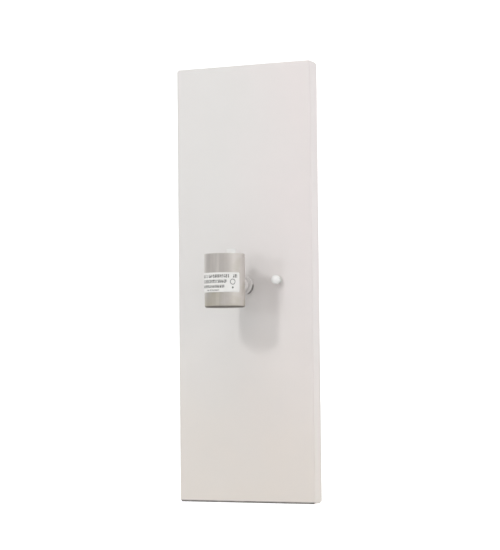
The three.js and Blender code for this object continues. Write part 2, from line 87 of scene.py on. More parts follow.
@dataclass(frozen=True)
class Span:
    """The lowest and highest corner of a part, in millimetres."""

    low: Array
    high: Array

    @classmethod
    def of(cls, node: str) -> "Span":
        """Measure a part of the frame.

        Args:
            node: the part's name.

        Returns:
            Its span at rest.
        """
        low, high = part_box(node)
        return cls(np.array(low) / MM, np.array(high) / MM)

    @property
    def centre(self) -> Array:
        """The middle of the span."""
        return (self.low + self.high) / 2

    @property
    def size(self) -> Array:
        """The span's width, depth and height."""
        return self.high - self.low

    @property
    def outward(self) -> tuple[float, float]:
        """How far from the wall the part starts and ends."""
        return -self.high[1], -self.low[1]


# ---------------------------------------------------------------- surfaces


class Axis(Enum):
    """Which way a turned shape's height runs."""

    UP = "up"
    OUT = "out of the wall"


def fillet(points: Any, radius: float, steps: int = 4, closed: bool = False) -> Array:
    """Round the corners of a line.

    Each corner becomes a quadratic curve between two points set back along its sides by the radius, or by
    less than half of a shorter side.

    Args:
        points: the corners, one row each.
        radius: the set-back.
        steps: pieces in each curve.
        closed: whether the last point joins the first.

    Returns:
        The rounded line.
    """
    p = np.asarray(points, float)
    before, at, after = np.roll(p, 1, 0), p, np.roll(p, -1, 0)
    if not closed:
        before, at, after = p[:-2], p[1:-1], p[2:]
    left, right = before - at, after - at
    len_left = np.linalg.norm(left, axis=1, keepdims=True)
    len_right = np.linalg.norm(right, axis=1, keepdims=True)
    back = np.minimum(radius, 0.45 * np.minimum(len_left, len_right))
    start, end = at + left / len_left * back, at + right / len_right * back
    t = np.linspace(0, 1, steps + 1)[None, :, None]
    curve = (1 - t) ** 2 * start[:, None] + 2 * t * (1 - t) * at[:, None] + t**2 * end[:, None]
    flat = curve.reshape(-1, p.shape[1])
    return flat if closed else np.vstack([p[:1], flat, p[-1:]])


def angles(count: int) -> Array:
    """Equal steps round a full turn, without the closing one."""
    return np.arange(count) * (TURN / count)


def around(radius: Array, height: Array, theta: Array, origin: Array, axis: Axis) -> Array:
    """Place a turned surface: each point is its radius round the axis, at its height along it.

    Args:
        radius: radii, broadcast against theta.
        height: heights along the axis, broadcast the same way.
        theta: angles.
        origin: a point that the axis goes through.
        axis: which way the height runs.

    Returns:
        Points, with a last dimension of three.
    """
    radius, height, theta = np.broadcast_arrays(radius, height, theta)
    across = origin[0] + radius * np.cos(theta)
    if axis is Axis.UP:
        return np.stack([across, origin[1] + radius * np.sin(theta), height], -1)
    return np.stack([across, -height, origin[2] + radius * np.sin(theta)], -1)


@dataclass
class Surface:
    """A mesh in the making, put together from grids of points in millimetres."""

    points: list[Array] = field(default_factory=list)
    faces: list[Array] = field(default_factory=list)
    count: int = 0

    def grid(
        self, xyz: Array, wrap: bool = False, loop: bool = False, keep: Array | None = None
    ) -> "Surface":
        """Add a grid of points joined by four-sided faces.

        Args:
            xyz: rows by columns by three.
            wrap: whether the last column joins the first.
            loop: whether the last row joins the first.
            keep: which cells to make, rows-1 by columns-1; all if None.

        Returns:
            This surface.
        """
        rows, columns = xyz.shape[:2]
        index = np.arange(rows * columns).reshape(rows, columns) + self.count
        if wrap:
            index = np.concatenate([index, index[:, :1]], 1)
        if loop:
            index = np.concatenate([index, index[:1]], 0)
        quads = np.stack([index[:-1, :-1], index[:-1, 1:], index[1:, 1:], index[1:, :-1]], -1)
        self.faces.append(quads[keep] if keep is not None else quads.reshape(-1, 4))
        self.points.append(xyz.reshape(-1, 3))
        self.count += rows * columns
        return self

    def make(self, name: str, material: bpy.types.Material, inside: Array | None = None) -> bpy.types.Object:
        """Turn the grids into one object with merged seams.

        Args:
            name: the piece's name.
            material: its finish.
            inside: a point that an open sheet's faces point away from; a closed shape needs none.

        Returns:
            The new object, smooth except at its sharp edges.
        """
        mesh = bpy.data.meshes.new(name)
        faces = np.vstack(self.faces)
        used, corners = np.unique(faces, return_inverse=True)
        points = np.vstack(self.points)[used] * MM
        mesh.from_pydata(points.tolist(), [], corners.reshape(faces.shape).tolist())
        work = bmesh.new()
        work.from_mesh(mesh)
        bmesh.ops.remove_doubles(work, verts=work.verts, dist=MERGE)
        bmesh.ops.dissolve_degenerate(work, dist=MERGE / 4, edges=work.edges)
        bmesh.ops.recalc_face_normals(work, faces=work.faces)
        if inside is not None:
            middle = Vector(inside * MM)
            flux = sum((f.calc_center_median() - middle).dot(f.normal) * f.calc_area() for f in work.faces)
            if flux < 0:
                bmesh.ops.reverse_faces(work, faces=work.faces)
        work.to_mesh(mesh)
        work.free()
        mesh.polygons.foreach_set("use_smooth", np.ones(len(mesh.polygons), bool))
        mesh.set_sharp_from_angle(angle=SHARP)
        mesh.materials.append(material)
        piece = bpy.data.objects.new(name, mesh)
        bpy.context.scene.collection.objects.link(piece)
        return piece


def even(piece: bpy.types.Object) -> bpy.types.Object:
    """Weight a piece's normals by area, so that flat faces look flat beside rounded edges.

    Args:
        piece: the piece.

    Returns:
        The same piece.
    """
    weighted = piece.modifiers.new("even_shading", "WEIGHTED_NORMAL")
    weighted.keep_sharp = True
    return piece


def edge_round(piece: bpy.types.Object, size: float, angle: float) -> None:
    """Round a piece's sharp edges a little.

    Args:
        piece: the piece.
        size: the round's size in millimetres.
        angle: the least angle of an edge that counts as sharp, in degrees.
    """
    bevel = piece.modifiers.new("edge_round", "BEVEL")
    bevel.width = size * MM
    bevel.segments = 2
    bevel.limit_method = "ANGLE"
    bevel.angle_limit = math.radians(angle)


def thicken(piece: bpy.types.Object, thickness: float, offset: float, edge: float) -> bpy.types.Object:
    """Give a sheet its thickness and a small round on its cut edges.

    Args:
        piece: an open sheet.
        thickness: in millimetres.
        offset: -1 puts it behind the faces, 0 on both sides.
        edge: the round's size in millimetres, or 0 for none.

    Returns:
        The piece.
    """
    solid = piece.modifiers.new("thickness", "SOLIDIFY")
    solid.thickness = thickness * MM
    solid.offset = offset
    solid.use_even_offset = True
    if edge:
        edge_round(piece, edge, 50)
    return even(piece)


@dataclass(frozen=True)
class Hole:
    """A round or slotted hole in a sheet, with the square block of sheet that is laid out round it."""

    u: float
    v: float
    radius: float
    block: float
    reach: float = 0.0

    def covers(self, u: Array, v: Array) -> Array:
        """1 for each point that lies in the block."""
        return (abs(u - self.u) < self.block) & (abs(v - self.v) < self.block + self.reach)

    def patch(self, us: Array, vs: Array, rows: int = 5) -> Array:
        """Lay out the sheet between the block's edge and the hole.

        A point on the block's edge looks at the nearest point of the hole's centre line, and the rows run
        along that sight line from the hole's rim to the edge.

        Args:
            us: the sheet's grid lines in the first direction.
            vs: those in the second.
            rows: rows from the rim to the edge.

        Returns:
            Points of the sheet, rows by steps round the block by two.
        """
        u = us[(us >= self.u - self.block - MERGE) & (us <= self.u + self.block + MERGE)]
        half = self.block + self.reach
        v = vs[(vs >= self.v - half - MERGE) & (vs <= self.v + half + MERGE)]
        bottom = np.stack([u, np.full_like(u, v[0])], -1)
        right = np.stack([np.full_like(v, u[-1]), v], -1)
        top = np.stack([u[::-1], np.full_like(u, v[-1])], -1)
        left = np.stack([np.full_like(v, u[0]), v[::-1]], -1)
        edge = np.vstack([bottom[:-1], right[:-1], top[:-1], left[:-1]])
        line = np.stack(
            [np.full(len(edge), self.u), np.clip(edge[:, 1], self.v - self.reach, self.v + self.reach)], -1
        )
        sight = edge - line
        rim = line + sight / np.linalg.norm(sight, axis=1, keepdims=True) * self.radius
        t = (np.linspace(0, 1, rows) ** 1.4)[:, None, None]
        return rim * (1 - t) + edge * t


def grid_lines(marks: Any, step: float) -> Array:
    """Grid lines through every mark, with even steps in between.

    Args:
        marks: places that need a line, in any order.
        step: the longest step.

    Returns:
        The lines, rising.
    """
    marks = np.unique(np.round(np.asarray(marks, float), 6))
    parts = []
    for low, high in zip(marks, marks[1:]):
        steps = max(1, math.ceil((high - low) / step - MERGE))
        parts.append(np.linspace(low, high, steps + 1)[:-1])
    return np.concatenate([*parts, marks[-1:]])


def pierced(
    surface: Surface,
    us: Array,
    vs: Array,
    place: Callable[[Array, Array], Array],
    holes: list[Hole],
    absent: Callable[[Array, Array], Array] | None = None,
) -> Surface:
    """Add a sheet with holes: a grid of the sheet's own two directions, less the blocks round the holes,
    plus a patch for each block.

    Args:
        surface: where the sheet goes.
        us: grid lines in the first direction.
        vs: grid lines in the second.
        place: where a point of the flat sheet lies in space.
        holes: the holes.
        absent: which cells are cut away, by their middles.

    Returns:
        The surface.
    """
    u, v = np.meshgrid(us, vs, indexing="ij")
    mid_u = (u[:-1, :-1] + u[1:, 1:]) / 2
    mid_v = (v[:-1, :-1] + v[1:, 1:]) / 2
    keep = np.ones(mid_u.shape, bool)
    for hole in holes:
        keep &= ~hole.covers(mid_u, mid_v)
    if absent is not None:
        keep &= ~absent(mid_u, mid_v)
    surface.grid(place(u, v), keep=keep)
    for hole in holes:
        flat = hole.patch(us, vs)
        surface.grid(place(flat[..., 0], flat[..., 1]), wrap=True)
    return surface


def wave(x: Array) -> Array:
    """A thread's section: 0 in the root and 1 on the crest, once for each whole step of x."""
    return np.abs(2 * (x - np.floor(x + 0.5)))


# ---------------------------------------------------------------- shader arithmetic


@dataclass(frozen=True)
class Wire:
    """A number that varies over a surface, usable in Python arithmetic."""

    recipe: "Recipe"
    socket: bpy.types.NodeSocket

    def _with(self, operation: str, first: Any, second: Any) -> "Wire":
        """Add a Math node of two numbers."""
        return self.recipe.node("ShaderNodeMath", {"operation": operation}, {0: first, 1: second})

    def __add__(self, other: Any) -> "Wire":
        """Sum."""
        return self._with("ADD", self, other)

    __radd__ = __add__

    def __sub__(self, other: Any) -> "Wire":
        """Difference."""
        return self._with("SUBTRACT", self, other)

    def __rsub__(self, other: Any) -> "Wire":
        """Difference, the other way."""
        return self._with("SUBTRACT", other, self)

    def __mul__(self, other: Any) -> "Wire":
        """Product."""
        return self._with("MULTIPLY", self, other)

    __rmul__ = __mul__

    def __truediv__(self, other: Any) -> "Wire":
        """Quotient."""
        return self._with("DIVIDE", self, other)

    def __gt__(self, other: Any) -> "Wire":
        """1 where greater, else 0."""
        return self._with("GREATER_THAN", self, other)

    def __lt__(self, other: Any) -> "Wire":
        """1 where less, else 0."""
        return self._with("LESS_THAN", self, other)

    def one(self, operation: str) -> "Wire":
        """Add a Math node of this number alone, such as FLOOR or ABSOLUTE."""
        return self.recipe.node("ShaderNodeMath", {"operation": operation}, {0: self})

    def within(self, low: Any, high: Any) -> "Wire":
        """1 between two limits, else 0."""
        return (self > low) * (self < high)


class Recipe:
    """A material under construction: one Principled shader and the nodes that feed it."""

    def __init__(self, name: str) -> None:
        """Start an empty material.

        Args:
            name: the material's name.
        """
        self.material = bpy.data.materials.new(name)
        self.material.use_nodes = True
        self.tree = self.material.node_tree
        self.tree.nodes.clear()
        self.shader = self.tree.nodes.new("ShaderNodeBsdfPrincipled")
        output = self.tree.nodes.new("ShaderNodeOutputMaterial")
        self.tree.links.new(self.shader.outputs[0], output.inputs[0])
        coordinates = self.tree.nodes.new("ShaderNodeTexCoord")
        self.place = coordinates.outputs["Object"]

    def feed(self, socket: bpy.types.NodeSocket, value: Any) -> None:
        """Set a socket to a value, or link it to what a wire or socket gives.

        Args:
            socket: an input.
            value: a number, a colour, a vector, a wire or an output socket.
        """
        if isinstance(value, Wire):
            value = value.socket
        if isinstance(value, bpy.types.NodeSocket):
            self.tree.links.new(value, socket)
        elif isinstance(value, tuple) and socket.type == "RGBA" and len(value) == 3:
            socket.default_value = (*value, 1)
        else:
            socket.default_value = value

    def node(self, kind: str, settings: dict[str, Any], inputs: dict[Any, Any], output: Any = 0) -> Wire:
        """Add a node.

        Args:
            kind: the node's type.
            settings: its properties, set first.
            inputs: values or links by socket name or number.
            output: which output to hand back.

        Returns:
            That output as a wire.
        """
        made = self.tree.nodes.new(kind)
        for key, value in settings.items():
            setattr(made, key, value)
        for key, value in inputs.items():
            self.feed(made.inputs[key], value)
        return Wire(self, made.outputs[output])

    def stretched(self, scale: tuple[float, float, float]) -> Wire:
        """Object coordinates with each axis scaled."""
        return self.node("ShaderNodeMapping", {}, {"Vector": self.place, "Scale": scale})

    def axes(self) -> tuple[Wire, Wire, Wire]:
        """Object coordinates as three numbers.

        Returns:
            Across, into the wall and up, in metres.
        """
        split = self.tree.nodes.new("ShaderNodeSeparateXYZ")
        self.tree.links.new(self.place, split.inputs[0])
        return tuple(Wire(self, socket) for socket in split.outputs)

    def noise(self, scale: float, detail: float = 2.0, along: Any = None, seed: float = 0.0) -> Wire:
        """Smooth noise from 0 to 1, with that many features to the metre."""
        inputs = {"Vector": along or self.place, "W": seed, "Scale": scale, "Detail": detail}
        return self.node("ShaderNodeTexNoise", {"noise_dimensions": "4D"}, inputs)

    def mix(self, factor: Any, first: Any, second: Any) -> Wire:
        """A colour between two colours.

        Args:
            factor: 0 for the first, 1 for the second.
            first: a colour.
            second: another.

        Returns:
            The mixed colour.
        """
        made = self.tree.nodes.new("ShaderNodeMix")
        made.data_type = "RGBA"
        self.feed(made.inputs[0], factor)
        self.feed(made.inputs[6], first)
        self.feed(made.inputs[7], second)
        return Wire(self, made.outputs[2])

    def ramp(self, value: Wire, low: float, high: float) -> Wire:
        """0 below one value and 1 above the other, with a straight rise between."""
        return self.node("ShaderNodeMapRange", {}, {0: value, 1: low, 2: high, 3: 0.0, 4: 1.0})

    def relief(self, height: Wire, depth: float) -> None:
        """Raise the surface by a height map, with its full range as deep as asked, in millimetres."""
        bump = self.node("ShaderNodeBump", {}, {"Strength": 1.0, "Distance": depth * MM, "Height": height})
        self.feed(self.shader.inputs["Normal"], bump)

    def finish(self, **sockets: Any) -> bpy.types.Material:
        """Feed the shader's sockets.

        Args:
            sockets: a value or wire for each, with underscores for spaces in the names.

        Returns:
            The finished material.
        """
        for name, value in sockets.items():
            self.feed(self.shader.inputs[name.replace("_", " ")], value)
        return self.material


def shade(colour: Colour, factor: float) -> Colour:
    """A colour made lighter or darker."""
    return tuple(min(1.0, part * factor) for part in colour)


@dataclass(frozen=True)
class Enamel:
    """Baked enamel on sheet steel: a faint orange peel, slow drifts of tone, scattered dust nibs, and a tone
    that is yellower towards the pan's foot and rosier towards its right side. Painted shade darkens the
    pan's bottom fold, its outer edges and the lower right of the arm's collar."""

    name: str
    colour: Colour
    rosy: Colour
    yellow: Colour
    # The colour of the painted shade on undersides, folds and the collar's lower right edge.
    painted_shade: Colour = (0.13, 0.12, 0.11)
    roughness: float = 0.42
    peel: float = 0.012

    def build(self) -> bpy.types.Material:
        """Make the material.

        Returns:
            The material.
        """
        r = Recipe(self.name)
        x, _, z = r.axes()
        wander = (r.noise(9, 2) - 0.5) * 0.12
        right = r.ramp(x + wander, -0.03, 0.08)
        foot = r.ramp(wander - z, 0.02, 0.26)
        base = r.mix(foot, r.mix(right, self.colour, self.rosy), self.yellow)
        patches = r.ramp(r.noise(38, 3, seed=2.0), 0.25, 0.75)
        unshaded = r.mix(patches * 0.4, base, r.mix(0.5, base, shade(self.colour, 0.93)))
        nibs = r.ramp(r.noise(620, 1, seed=5.0), 0.74, 0.8)
        peel = r.noise(420, 1, seed=1.0) + r.noise(120, 1, seed=3.0) * 0.8 + nibs * 1.2
        r.relief(peel, self.peel)
        rough = self.roughness + (r.noise(55, 3, seed=7.0) - 0.5) * 0.12 + nibs * 0.1
        # Painted shade: the colour is darkened where light falls weakly, along the bottom and left folds, the
        # rear edges and the collar's lower right edge.
        colour = r.mix(self._painted_shade_weight(r), unshaded, self.painted_shade)
        return r.finish(Base_Color=colour, Roughness=rough, Coat_Weight=0.12, Coat_Roughness=0.25)

    def _painted_shade_weight(self, r: Recipe) -> Wire:
        """How much painted shade lies at a point: along the pan's bottom fold, its left fold and its rear
        edges, and in an arc round the lower right of the collar, where light falls weakly.

        Args:
            r: the material's recipe.

        Returns:
            0 for none, 1 for black.
        """
        pan, arm, collar = (Span.of(node) for node in ("wall_pan", "arm_pipe", "arm_collar"))
        x, y, z = (axis / MM for axis in r.axes())
        # Painted shade along the folds and rear edges, varied at random in strength.
        thin = 0.7 + r.noise(140, 3, seed=11.0) * 0.6
        front = r.ramp((pan.low[1] + 4.0) - y, 0.0, 2.5)
        bottom = r.ramp((pan.low[2] + 1.9) - z, -0.3, 0.4) * front * 0.9
        left = r.ramp((pan.low[0] + 0.7) - x, -0.3, 0.3) * front * 0.35
        rear = r.ramp(y + 1.6, -0.5, 0.8) * r.ramp(pan.centre[2] - z, -120.0, 120.0) * 0.35
        up = z - arm.centre[2]
        radius = (x * x + up * up).one("SQRT")
        # Painted shade: a thin dark arc round the collar's lower right edge, where its contact shadow falls.
        rim = radius.within(collar.size[0] / 2 - 0.3, collar.size[0] / 2 + 0.6)
        lower_right = r.ramp(x - up * 0.55, 8.2, 9.6) * r.ramp(0 - up, -1.5, 1.0) * (y < pan.low[1] + 0.5)
        return (bottom + left + rear) * thin + rim * lower_right * 0.75


@dataclass(frozen=True)
class SpunLacquer:
    """Clear-grey lacquer over spun metal: upright streaks, partly grain and partly painted reflections, faint
    turning marks, dull handled patches, a right side painted lighter where more light falls on it, a foot
    that has yellowed, and painted shade in a line round the bottom edge."""

    name: str
    colour: Colour
    foot: float
    yellow: Colour = (0.42, 0.385, 0.30)
    # The colour of the painted shade round the cup's bottom edge.
    dark: Colour = (0.10, 0.09, 0.08)
    streaks: float = 520

    def build(self) -> bpy.types.Material:
        """Make the material.

        Returns:
            The material.
        """
        r = Recipe(self.name)
        above = r.axes()[2] / MM - self.foot
        upright = r.stretched((1, 1, 0.025))
        fine = r.noise(self.streaks, 3, along=upright)
        broad = r.noise(150, 2, along=upright, seed=4.0)
        turning = r.noise(900, 2, along=r.stretched((0.02, 0.02, 1)), seed=8.0)
        # The streaks are partly the spun grain and partly painted reflections of the surroundings; they
        # lighten and darken the base colour.
        streak = r.ramp(broad * 0.62 + fine * 0.38, 0.36, 0.64)
        worn = r.ramp(r.noise(46, 4, seed=6.0) - above * 0.006, 0.3, 0.56)
        base = r.mix(streak, shade(self.colour, 0.84), shade(self.colour, 1.14))
        # Painted light: the cup's right side is made lighter, where more light falls on it.
        lit_right = r.mix(r.ramp(r.axes()[0] / MM, 4.0, 13.0), base, shade(self.colour, 1.22))
        aged = r.mix(worn * 0.65, lit_right, self.yellow)
        # Painted shade: a dark line round the bottom edge, where the underside is in shade.
        colour = r.mix(r.ramp(1.3 - above, -0.4, 0.4) * 0.8, aged, self.dark)
        r.relief(fine * 0.6 + turning * 0.4, 0.016)
        rough = 0.36 + (1 - streak) * 0.1 + worn * 0.1
        return r.finish(Base_Color=colour, Roughness=rough, Metallic=0.35 + streak * 0.2)


@dataclass(frozen=True)
class Plated:
    """Bright plating: metal with a drift between two tints, scratches, and dull spots."""

    name: str
    first: Colour
    second: Colour
    roughness: float = 0.28
    scratch: float = 0.008

    def build(self) -> bpy.types.Material:
        """Make the material.

        Returns:
            The material.
        """
        r = Recipe(self.name)
        drift = r.ramp(r.noise(70, 3), 0.32, 0.68)
        spots = r.ramp(r.noise(340, 4, seed=3.0), 0.56, 0.74)
        lines = r.noise(700, 2, along=r.stretched((0.08, 1, 1)), seed=6.0)
        base = r.mix(drift, self.first, self.second)
        colour = r.mix(spots * 0.45, base, shade(self.first, 0.62))
        r.relief(lines + r.noise(1500, 1, seed=9.0) * 0.5, self.scratch)
        rough = self.roughness + spots * 0.22 + (lines - 0.5) * 0.15
        return r.finish(Base_Color=colour, Roughness=rough, Metallic=1.0)


@dataclass(frozen=True)
class Glaze:
    """Glazed porcelain: a glassy skin over white clay, gently uneven, with a few iron specks."""

    name: str
    colour: Colour

    def build(self) -> bpy.types.Material:
        """Make the material.

        Returns:
            The material.
        """
        r = Recipe(self.name)
        specks = r.ramp(r.noise(520, 1, seed=2.0), 0.77, 0.8)
        pool = r.ramp(r.noise(90, 2), 0.35, 0.7)
        base = r.mix(pool * 0.6, self.colour, (0.80, 0.79, 0.74))
        r.relief(r.noise(160, 2, seed=4.0), 0.05)
        rough = 0.12 + pool * 0.06
        colour = r.mix(specks * 0.7, base, (0.30, 0.24, 0.18))
        return r.finish(Base_Color=colour, Roughness=rough, Coat_Weight=0.5, Coat_Roughness=0.06)


@dataclass(frozen=True)
class Nylon:
    """Moulded natural nylon: waxy, with flow clouds and a fine moulding texture."""

    name: str
    colour: Colour

    def build(self) -> bpy.types.Material:
        """Make the material.

        Returns:
            The material.
        """
        r = Recipe(self.name)
        flow = r.ramp(r.noise(160, 2), 0.35, 0.65)
        r.relief(r.noise(2600, 2, seed=3.0), 0.006)
        colour = r.mix(flow, self.colour, shade(self.colour, 0.9))
        return r.finish(Base_Color=colour, Roughness=0.42 + flow * 0.12, Subsurface_Weight=0.1)


@dataclass(frozen=True)
class TextRow:
    """One row of plain ink blocks on the label: its middle height, block height, left and right ends and
    block width, in millimetres from the label's middle."""

    height: float
    tall: float
    left: float
    right: float
    block: float


@dataclass(frozen=True)
class PrintedLabel:
    """White paper with rows of plain dark blocks, one empty ring and a dot. It carries no letters."""

    name: str
    paper: Colour
    ink: Colour
    radius: float
    axis: tuple[float, float]
    middle: float
    rows: tuple[TextRow, ...]
    ring: tuple[float, float, float, float]

    def build(self) -> bpy.types.Material:
        """Make the material. The first direction is the arc length round the cup, and the second is up.

        Returns:
            The material.
        """
        r = Recipe(self.name)
        x, y, z = r.axes()
        ahead = self.axis[1] * MM - y
        turn = r.node("ShaderNodeMath", {"operation": "ARCTAN2"}, {0: x - self.axis[0] * MM, 1: ahead})
        across = turn * self.radius
        up = z / MM - self.middle
        printed = self._ring(across, up)
        for number, row in enumerate(self.rows):
            printed = printed + self._blocks(r, row, number, across, up)
        fading = 0.75 + r.ramp(r.noise(900, 3), 0.35, 0.6) * 0.25
        fibres = r.noise(2400, 3, seed=2.0)
        paper = r.mix(r.ramp(r.noise(60, 3, seed=4.0), 0.35, 0.7), self.paper, shade(self.paper, 0.93))
        colour = r.mix(r.ramp(printed, 0.0, 1.0) * fading, paper, self.ink)
        r.relief(fibres, 0.01)
        return r.finish(Base_Color=colour, Roughness=0.55 + fibres * 0.15)

    def _blocks(self, r: Recipe, row: TextRow, number: int, across: Wire, up: Wire) -> Wire:
        """Ink where a row has a block. Most places along the row have one, and the rest are spaces. Each
        block is broken up by smaller cells that are left blank here and there.

        Args:
            r: the material's recipe.
            row: the row.
            number: the row's number, which sets its pattern.
            across: distance round the cup from the label's middle.
            up: height above the label's middle.

        Returns:
            1 for ink, else 0.
        """
        place = across / row.block
        whole = place.one("FLOOR")
        inner = (place - whole).within(0.08, 0.84)
        seed = 57.3 * (number + 1)
        lot = r.node("ShaderNodeTexWhiteNoise", {"noise_dimensions": "1D"}, {"W": whole + seed})
        column = (place * 4).one("FLOOR") * 1.37
        line = (up * (4 / row.tall)).one("FLOOR") * 5.71
        small = r.node("ShaderNodeTexWhiteNoise", {"noise_dimensions": "1D"}, {"W": column + line + seed})
        low, high = row.height - row.tall / 2, row.height + row.tall / 2
        inked = (lot > 0.12) * (small > 0.28)
        return inner * inked * up.within(low, high) * across.within(row.left, row.right)

    def _ring(self, across: Wire, up: Wire) -> Wire:
        """Ink on a plain ring with a dot below it.

        Args:
            across: distance round the cup from the label's middle.
            up: height above the label's middle.

        Returns:
            1 for ink, else 0.
        """
        centre_across, centre_up, radius, line = self.ring
        off_across, off_up = across - centre_across, up - centre_up
        distance = (off_across * off_across + off_up * off_up).one("SQRT")
        below = off_up + radius * 2
        dot = (off_across * off_across + below * below).one("SQRT") < radius / 3
        return distance.within(radius - line, radius) + dot


class Finishes:
    """Every finish on the object, by the record's material slots."""

    def __init__(self) -> None:
        """Make the materials that pieces share."""
        white = (0.765, 0.748, 0.732)
        cup = Span.of("socket_cup")
        label = Span.of("rating_label")
        rows = (
            TextRow(6.3, 3.2, -24.4, 21.9, 1.9),
            TextRow(1.0, 3.3, -24.4, 10.6, 2.0),
            TextRow(-4.0, 2.8, -24.4, 8.2, 1.8),
            TextRow(-7.8, 1.5, -11.8, 3.2, 1.1),
        )
        self.by_slot = {
            "white_paint": Enamel("white_paint", white, (0.80, 0.745, 0.735), (0.79, 0.725, 0.66)).build(),
            "socket_sleeve": SpunLacquer("socket_sleeve", (0.485, 0.455, 0.43), cup.low[2]).build(),
            "zinc": Plated("zinc", (0.62, 0.64, 0.66), (0.70, 0.68, 0.58)).build(),
            "brass": Plated("brass", (0.78, 0.58, 0.28), (0.70, 0.47, 0.22)).build(),
            "nickel": Plated("nickel", (0.74, 0.71, 0.66), (0.64, 0.61, 0.57)).build(),
            "porcelain": Glaze("porcelain", (0.86, 0.855, 0.83)).build(),
            "label_paper": PrintedLabel(
                "label_paper",
                (0.86, 0.85, 0.83),
                (0.045, 0.043, 0.04),
                cup.size[0] / 2,
                (cup.centre[0], cup.centre[1]),
                label.centre[2],
                rows,
                (16.9, 0.5, 2.9, 0.6),
            ).build(),
            "green_screw": Plated("green_screw", (0.03, 0.30, 0.10), (0.05, 0.40, 0.12), 0.34).build(),
            "white_nylon": Nylon("white_nylon", (0.80, 0.79, 0.74)).build(),
        }
        # Painted highlight: a lighter copy of the white paint for the bracket and the ball nuts, standing for
        # the extra light that they catch.
        highlight_white = (0.93, 0.93, 0.92)
        highlight_paint = Enamel("painted_highlight_paint", highlight_white, highlight_white, highlight_white).build()
        self.by_node = {node: highlight_paint for node in ("socket_bracket", "ball_nut_left", "ball_nut_right")}

    def of(self, node: str) -> bpy.types.Material:
        """The finish of a part of the frame."""
        return self.by_node.get(node) or self.by_slot[SLOT_OF[node]]


# ---------------------------------------------------------------- putting pieces on the frame


@dataclass
class Section:
    """A sub-assembly of the light. Each of its pieces takes a frame part's place, body and slot."""

    finishes: Finishes

    def hang(self, piece: bpy.types.Object, node: str) -> bpy.types.Object:
        """Let a piece stand for a part of the frame.

        Args:
            piece: the finished piece.
            node: the part.

        Returns:
            The piece.
        """
        body = BODY_OF[node]
        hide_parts(node)
        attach(piece, body)
        log.info("%s stands for %s on %s: %d points", piece.name, node, body, len(piece.data.vertices))
        return piece

    def tube(self, node: str, suffix: str, xyz: Array, loop: bool = True) -> bpy.types.Object:
        """Make a piece from one grid that closes round its axis.

        Args:
            node: the part that it stands for.
            suffix: what follows the part's name in the piece's name.
            xyz: the grid's points.
            loop: whether the last row joins the first.

        Returns:
            The piece.
        """
        piece = Surface().grid(xyz, wrap=True, loop=loop).make(f"{node}_{suffix}", self.finishes.of(node))
        return self.hang(even(piece), node)

    def turned(
        self,
        node: str,
        suffix: str,
        profile: Array,
        axis: Axis = Axis.OUT,
        loop: bool = True,
        steps: int = 96,
    ) -> bpy.types.Object:
        """Make a lathe shape: the profile's radius and height, carried round the part's own axis.

        Args:
            node: the part that it stands for.
            suffix: what follows the part's name in the piece's name.
            profile: rows of radius and height.
            axis: which way the height runs.
            loop: whether the profile is a ring that closes on itself.
            steps: steps round the axis.

        Returns:
            The piece.
        """
        theta = angles(steps)[None]
        xyz = around(profile[:, :1], profile[:, 1:], theta, Span.of(node).centre, axis)
        return self.tube(node, suffix, xyz, loop)

    def dress(self, node: str, edge: float) -> None:
        """Keep a part's own shape, give it its finish and take the bareness off its edges.

        Args:
            node: the part.
            edge: size of the edge round, in millimetres.
        """
        part = frame["nodes"][node]
        part.data.materials.clear()
        part.data.materials.append(self.finishes.of(node))
        weld = part.modifiers.new("weld", "WELD")
        weld.merge_threshold = MERGE
        edge_round(part, edge, 35)
        log.info("%s keeps its own shape", node)


# ---------------------------------------------------------------- threads, screws and nuts


@dataclass(frozen=True)
class Screw:
    """A pan-head machine screw with a cross recess. The recess's sizes are shares of the head's."""

    head_radius: float
    head_height: float
    shank_radius: float
    length: float
    pitch: float
    depth: float = 0.32
    recess: float = 0.55
    arm: float = 0.58
    half_arm: float = 0.14
    slope: float = 0.06
    point: float = 0.6

    def head_rows(self, theta: Array, count: int = 26) -> tuple[Array, Array]:
        """The head's top, from the middle to the rim.

        The dome is height x (0.45 + 0.55 (1 - (r/R)^4)^(1/2)), and the cross is sunk where a point is near
        either arm.

        Args:
            theta: angles, one row.
            count: rows.

        Returns:
            Rows of radius and rows of height.
        """
        share = np.linspace(0, 1, count)[:, None] ** 0.8
        radius = share * self.head_radius * np.ones_like(theta)
        dome = self.head_height * (0.45 + 0.55 * np.sqrt(1 - np.minimum(share, 1) ** 4))
        x, y = np.abs(radius * np.cos(theta)), np.abs(radius * np.sin(theta))
        arm, half = self.head_radius * self.arm, self.head_radius * self.half_arm
        inside = np.maximum(np.minimum(arm - x, half - y), np.minimum(half - x, arm - y))
        sunk = np.clip(inside / (self.head_radius * self.slope), 0, 1)
        return radius, dome - sunk * self.head_height * self.recess

    def points(self, origin: Array, seat: float, axis: Axis, up: int) -> Array:
        """The whole screw, from the middle of its head to the middle of its tip.

        Below the head the radius is the shank's less the thread's depth times its wave, and the wave is one
        step for each pitch of height less each full turn.

        Args:
            origin: a point on its axis.
            seat: where the head's seat is along the axis.
            axis: which way the axis runs.
            up: 1 if the head points along the axis, -1 if against it.

        Returns:
            The grid's points.
        """
        theta = angles(64)[None]
        ones = np.ones_like(theta)
        top_radius, top_height = self.head_rows(theta)
        down = np.linspace(0.02, self.length, max(2, int(self.length / self.pitch * THREAD_ROWS)))[:, None]
        tip = np.clip((self.length - down) / self.point, 0, 1)
        ridge = wave(down / self.pitch - theta / TURN)
        shank = self.shank_radius - self.depth * ridge - 0.5 * (1 - tip)
        radius = np.vstack([top_radius, ones * self.head_radius, ones * self.shank_radius, shank, 0 * ones])
        height = np.vstack([top_height, 0 * ones, 0 * ones, -down * ones, -self.length * ones])
        return around(radius, seat + up * height, theta, origin, axis)


